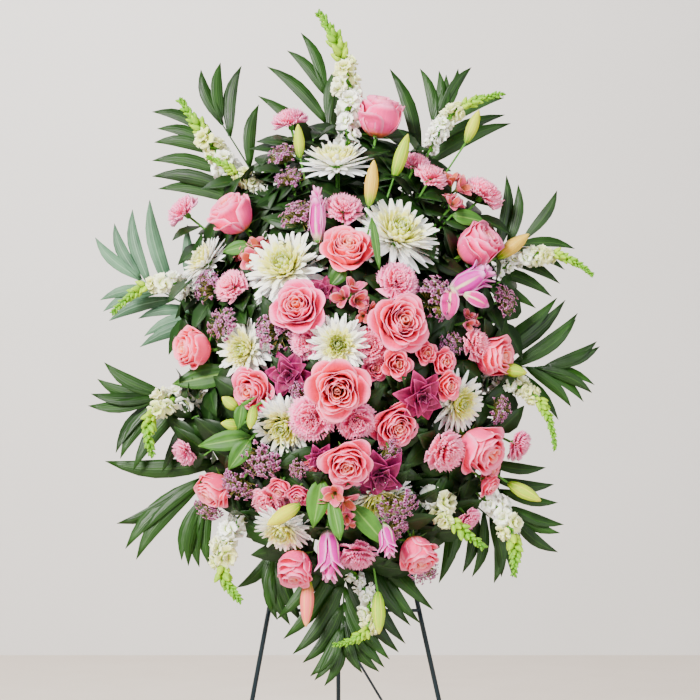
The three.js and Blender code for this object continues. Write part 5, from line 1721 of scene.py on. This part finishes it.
# Easel, with rounder wires than the frame's solids; its sizes are those in the part's source
LEG_PLANE = -46 * MM
LEG_TOP = 1.206
LEG_TOPS = {"left": -18 * MM, "right": -2 * MM}
FEET = {"left": -0.238, "right": 0.265}
BELOW_FLOOR = 12 * MM
REAR_FOOT = Vector((-0.01, 0.316, 0))
LEG_RADIUS = 3.5 * MM
CROSS_RADIUS = 2.5 * MM
BRACE_RADIUS = 2.0 * MM
WELD_OUT = 6.3 * MM
UPPER_WIRE_UP = -58 * MM
LOWER_WIRE_HEIGHT = 0.693
WELD_LENGTH = 30 * MM
PIN_BACK = 15.5 * MM
REAR_RING = {"radius": 7.6 * MM, "hole": 3.7 * MM, "width": 8.1 * MM}
STUD = {"height": 0.375, "radius": 2.8 * MM, "reach": 14 * MM, "head": 5 * MM, "thick": 2 * MM}
BRACE_RING = {"radius": 7 * MM, "hole": 3.5 * MM, "width": 4 * MM}
RING_ASIDE = 11.65 * MM
HOOK_HEIGHT = 0.62
HOOK_RADIUS = 6.4 * MM
HOOK_TURN = 1.1 * math.pi
HOOK_STEPS = 8
HOOK_EARLY = 0.1
BEAD_WIDE = 1.2
BEAD_LONG = 1.5
BEAD_DROPS = (0.3, 0.8)


def on_leg_plane(x, z, out=0.0):
    start = HUB + OUTWARD * LEG_PLANE
    return Vector((x, start.y + (z - start.z) * math.tan(LEAN), z)) + OUTWARD * out


def leg_at(side, z):
    foot = on_leg_plane(FEET[side], 0)
    return foot.lerp(on_leg_plane(LEG_TOPS[side], LEG_TOP), z / LEG_TOP)


def wire_parts(points, radius):
    """A round wire through a row of points, with a ball that rounds each bend."""
    parts = [rod(start, end, radius, "wire") for start, end in zip(points, points[1:])]
    for bend in points[1:-1]:
        ball = Matrix.Translation(bend) @ size_matrix(radius, radius, radius)
        parts.append(copy_of(PATTERNS["ball"], ball))
    return parts


def bead(place, along, radius):
    """Weld metal round the place where two wires touch."""
    stand = upright(place, along.normalized()) @ size_matrix(radius, radius, radius * BEAD_LONG)
    return copy_of(PATTERNS["ball"], stand)


def ring_part(centre, sizes):
    """A rounded ring about a line along X."""
    deselect()
    middle = (sizes["radius"] + sizes["hole"]) / 2
    half = (sizes["radius"] - sizes["hole"]) / 2
    bpy.ops.mesh.primitive_torus_add(
        major_radius=middle,
        minor_radius=half,
        major_segments=24,
        minor_segments=12,
        rotation=(0, math.pi / 2, 0),
    )
    ring = settle_object(bpy.context.object)
    ring.scale.x = sizes["width"] / (2 * half)
    ring.location = centre
    settle_object(ring)
    bpy.ops.object.shade_smooth()
    ring.data.materials.append(MATERIALS["paint"])
    return ring


def cut_at_floor(piece):
    """Cuts off what lies below the floor and closes the foot."""
    select_only(piece)
    bpy.ops.object.mode_set(mode="EDIT")
    bpy.ops.mesh.select_all(action="SELECT")
    bpy.ops.mesh.bisect(plane_co=(0, 0, 0), plane_no=(0, 0, 1), use_fill=True, clear_inner=True)
    bpy.ops.object.mode_set(mode="OBJECT")


def place_wire(node, parts, body):
    piece = join(node + "_wire", parts)
    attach(piece, body)
    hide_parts(node)
    return piece


def make_front_legs():
    for side in ("left", "right"):
        foot = on_leg_plane(FEET[side], 0)
        top = on_leg_plane(LEG_TOPS[side], LEG_TOP)
        parts = wire_parts([foot + (foot - top).normalized() * BELOW_FLOOR, top], LEG_RADIUS)
        if side == "right":
            root = leg_at(side, STUD["height"])
            tip = root - ACROSS * STUD["reach"]
            parts.append(rod(root, tip, STUD["radius"], "wire"))
            parts.append(rod(tip, tip - ACROSS * STUD["thick"], STUD["head"], "wire"))
        cut_at_floor(place_wire("front_leg_" + side, parts, MAIN_BODY))


def make_cross_wires():
    def front(side, z):
        return leg_at(side, z) + OUTWARD * WELD_OUT

    height = HUB.z + UPPER_WIRE_UP * math.cos(LEAN) + LEG_PLANE * math.sin(LEAN)
    upper = wire_parts([front("left", height), front("right", height)], CROSS_RADIUS)
    corners = [front(side, LOWER_WIRE_HEIGHT) for side in ("left", "right")]
    ends = [front(side, LOWER_WIRE_HEIGHT - WELD_LENGTH) for side in ("left", "right")]
    lower = wire_parts([ends[0], *corners, ends[1]], CROSS_RADIUS)
    for side in ("left", "right"):
        way = leg_at(side, LEG_TOP) - leg_at(side, 0)
        upper.append(bead(front(side, height) - OUTWARD * CROSS_RADIUS, way, CROSS_RADIUS * BEAD_WIDE))
        for drop in BEAD_DROPS:
            weld = front(side, LOWER_WIRE_HEIGHT - WELD_LENGTH * drop)
            lower.append(bead(weld - OUTWARD * CROSS_RADIUS, way, CROSS_RADIUS * BEAD_WIDE))
    place_wire("cross_wire_upper", upper, MAIN_BODY)
    place_wire("cross_wire_lower", lower, MAIN_BODY)


def make_rear_leg():
    pin = on_leg_plane(REAR_FOOT.x, LEG_TOP, -PIN_BACK)
    down = (REAR_FOOT - pin).normalized()
    start = pin + down * (REAR_RING["radius"] + REAR_RING["hole"]) / 2
    parts = wire_parts([start, REAR_FOOT + down * BELOW_FLOOR], LEG_RADIUS)
    parts.append(ring_part(pin, REAR_RING))
    cut_at_floor(place_wire("rear_leg", parts, "rear_leg"))


def make_brace():
    """A wire from the stud on the right leg that hooks round the rear leg."""
    pin = on_leg_plane(REAR_FOOT.x, LEG_TOP, -PIN_BACK)
    pivot = leg_at("right", STUD["height"]) - ACROSS * RING_ASIDE
    leg = REAR_FOOT.lerp(pin, HOOK_HEIGHT / pin.z)
    back = Vector((0, leg.y - pivot.y, leg.z - pivot.z)).normalized()
    start = pivot + back * (BRACE_RING["radius"] + BRACE_RING["hole"]) / 2
    points = [start, leg + ACROSS * HOOK_RADIUS]
    for i in range(1, HOOK_STEPS + 1):
        angle = HOOK_TURN * i / HOOK_STEPS - HOOK_EARLY
        points.append(leg + (ACROSS * math.cos(angle) + back * math.sin(angle)) * HOOK_RADIUS)
    place_wire("brace", [*wire_parts(points, BRACE_RADIUS), ring_part(pivot, BRACE_RING)], "brace")


make_front_legs()
make_cross_wires()
make_rear_leg()
make_brace()


# The bracket and the tray keep their solids, with worn paint and plastic over them
def dress(node, material):
    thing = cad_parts[node]
    thing.data.materials.clear()
    thing.data.materials.append(MATERIALS[material])


dress("apex_bracket", "worn")
dress("foam_tray", "plastic")


# Floor, backdrop, light and camera
WALL_BEHIND = 4.0
SHEET_SIZE = 30
WALL_SUNK = 0.1
LIGHT_TARGET = (0, 0, 1.0)
SENSOR = 36


def stage_sheet(name, place, turn, colours, scale):
    deselect()
    bpy.ops.mesh.primitive_plane_add(size=SHEET_SIZE, location=place, rotation=turn)
    sheet = bpy.context.object
    sheet.name = name
    settle_object(sheet)
    sheet.data.materials.append(grain_material(name + "_finish", colours, scale, 0.01 * MM, 0.7))
    return sheet


def hide_from_behind(sheet):
    """From behind, the backdrop doesn't stand in the way of the spray."""
    tree = sheet.data.materials[0].node_tree
    behind = shader(tree, "ShaderNodeNewGeometry").outputs["Backfacing"]
    tree.links.new(opposite(tree, behind), tree.nodes["Principled BSDF"].inputs["Alpha"])


def make_stage():
    floor_place = (0, WALL_BEHIND - SHEET_SIZE / 2, 0)
    stage_sheet("floor", floor_place, (0, 0, 0), "d8cbbd e0d4c8", 6)
    wall_place = (0, WALL_BEHIND, SHEET_SIZE / 2 - WALL_SUNK)
    hide_from_behind(stage_sheet("backdrop", wall_place, (math.pi / 2, 0, 0), "dbd7d2 e0dcd8", 2))


def soft_light(name, place, target, size, power, tint=(1, 1, 1)):
    light = bpy.data.lights.new(name, "AREA")
    light.energy = power
    light.size = size
    light.color = tint
    lamp = bpy.data.objects.new(name, light)
    bpy.context.scene.collection.objects.link(lamp)
    lamp.location = place
    lamp.rotation_euler = (Vector(target) - Vector(place)).to_track_quat("-Z", "Y").to_euler()


def make_light():
    soft_light("key_light", (-2.2, -3.2, 3.2), LIGHT_TARGET, size=1.3, power=570, tint=(1, 0.98, 0.95))
    soft_light("fill_light", (2.6, -2.8, 1.6), LIGHT_TARGET, size=2.4, power=105, tint=(0.95, 0.97, 1))
    soft_light("wall_light", (-1.5, 1.2, 3.6), (0, WALL_BEHIND, 1.6), size=2.0, power=180)
    world = bpy.data.worlds.new("studio")
    world.use_nodes = True
    world.node_tree.nodes["Background"].inputs["Color"].default_value = (0.95, 0.96, 1.0, 1)
    world.node_tree.nodes["Background"].inputs["Strength"].default_value = 0.55
    bpy.context.scene.world = world


def make_camera():
    lens = bpy.data.cameras.new("front_camera")
    lens.sensor_width = SENSOR
    lens.lens = SENSOR * VIEW_DISTANCE / (VIEW_SIZE * PIXEL)
    camera = bpy.data.objects.new("front_camera", lens)
    bpy.context.scene.collection.objects.link(camera)
    camera.location = EYE
    camera.rotation_euler = (math.pi / 2, 0, 0)
    bpy.context.scene.camera = camera


make_stage()
make_light()
make_camera()
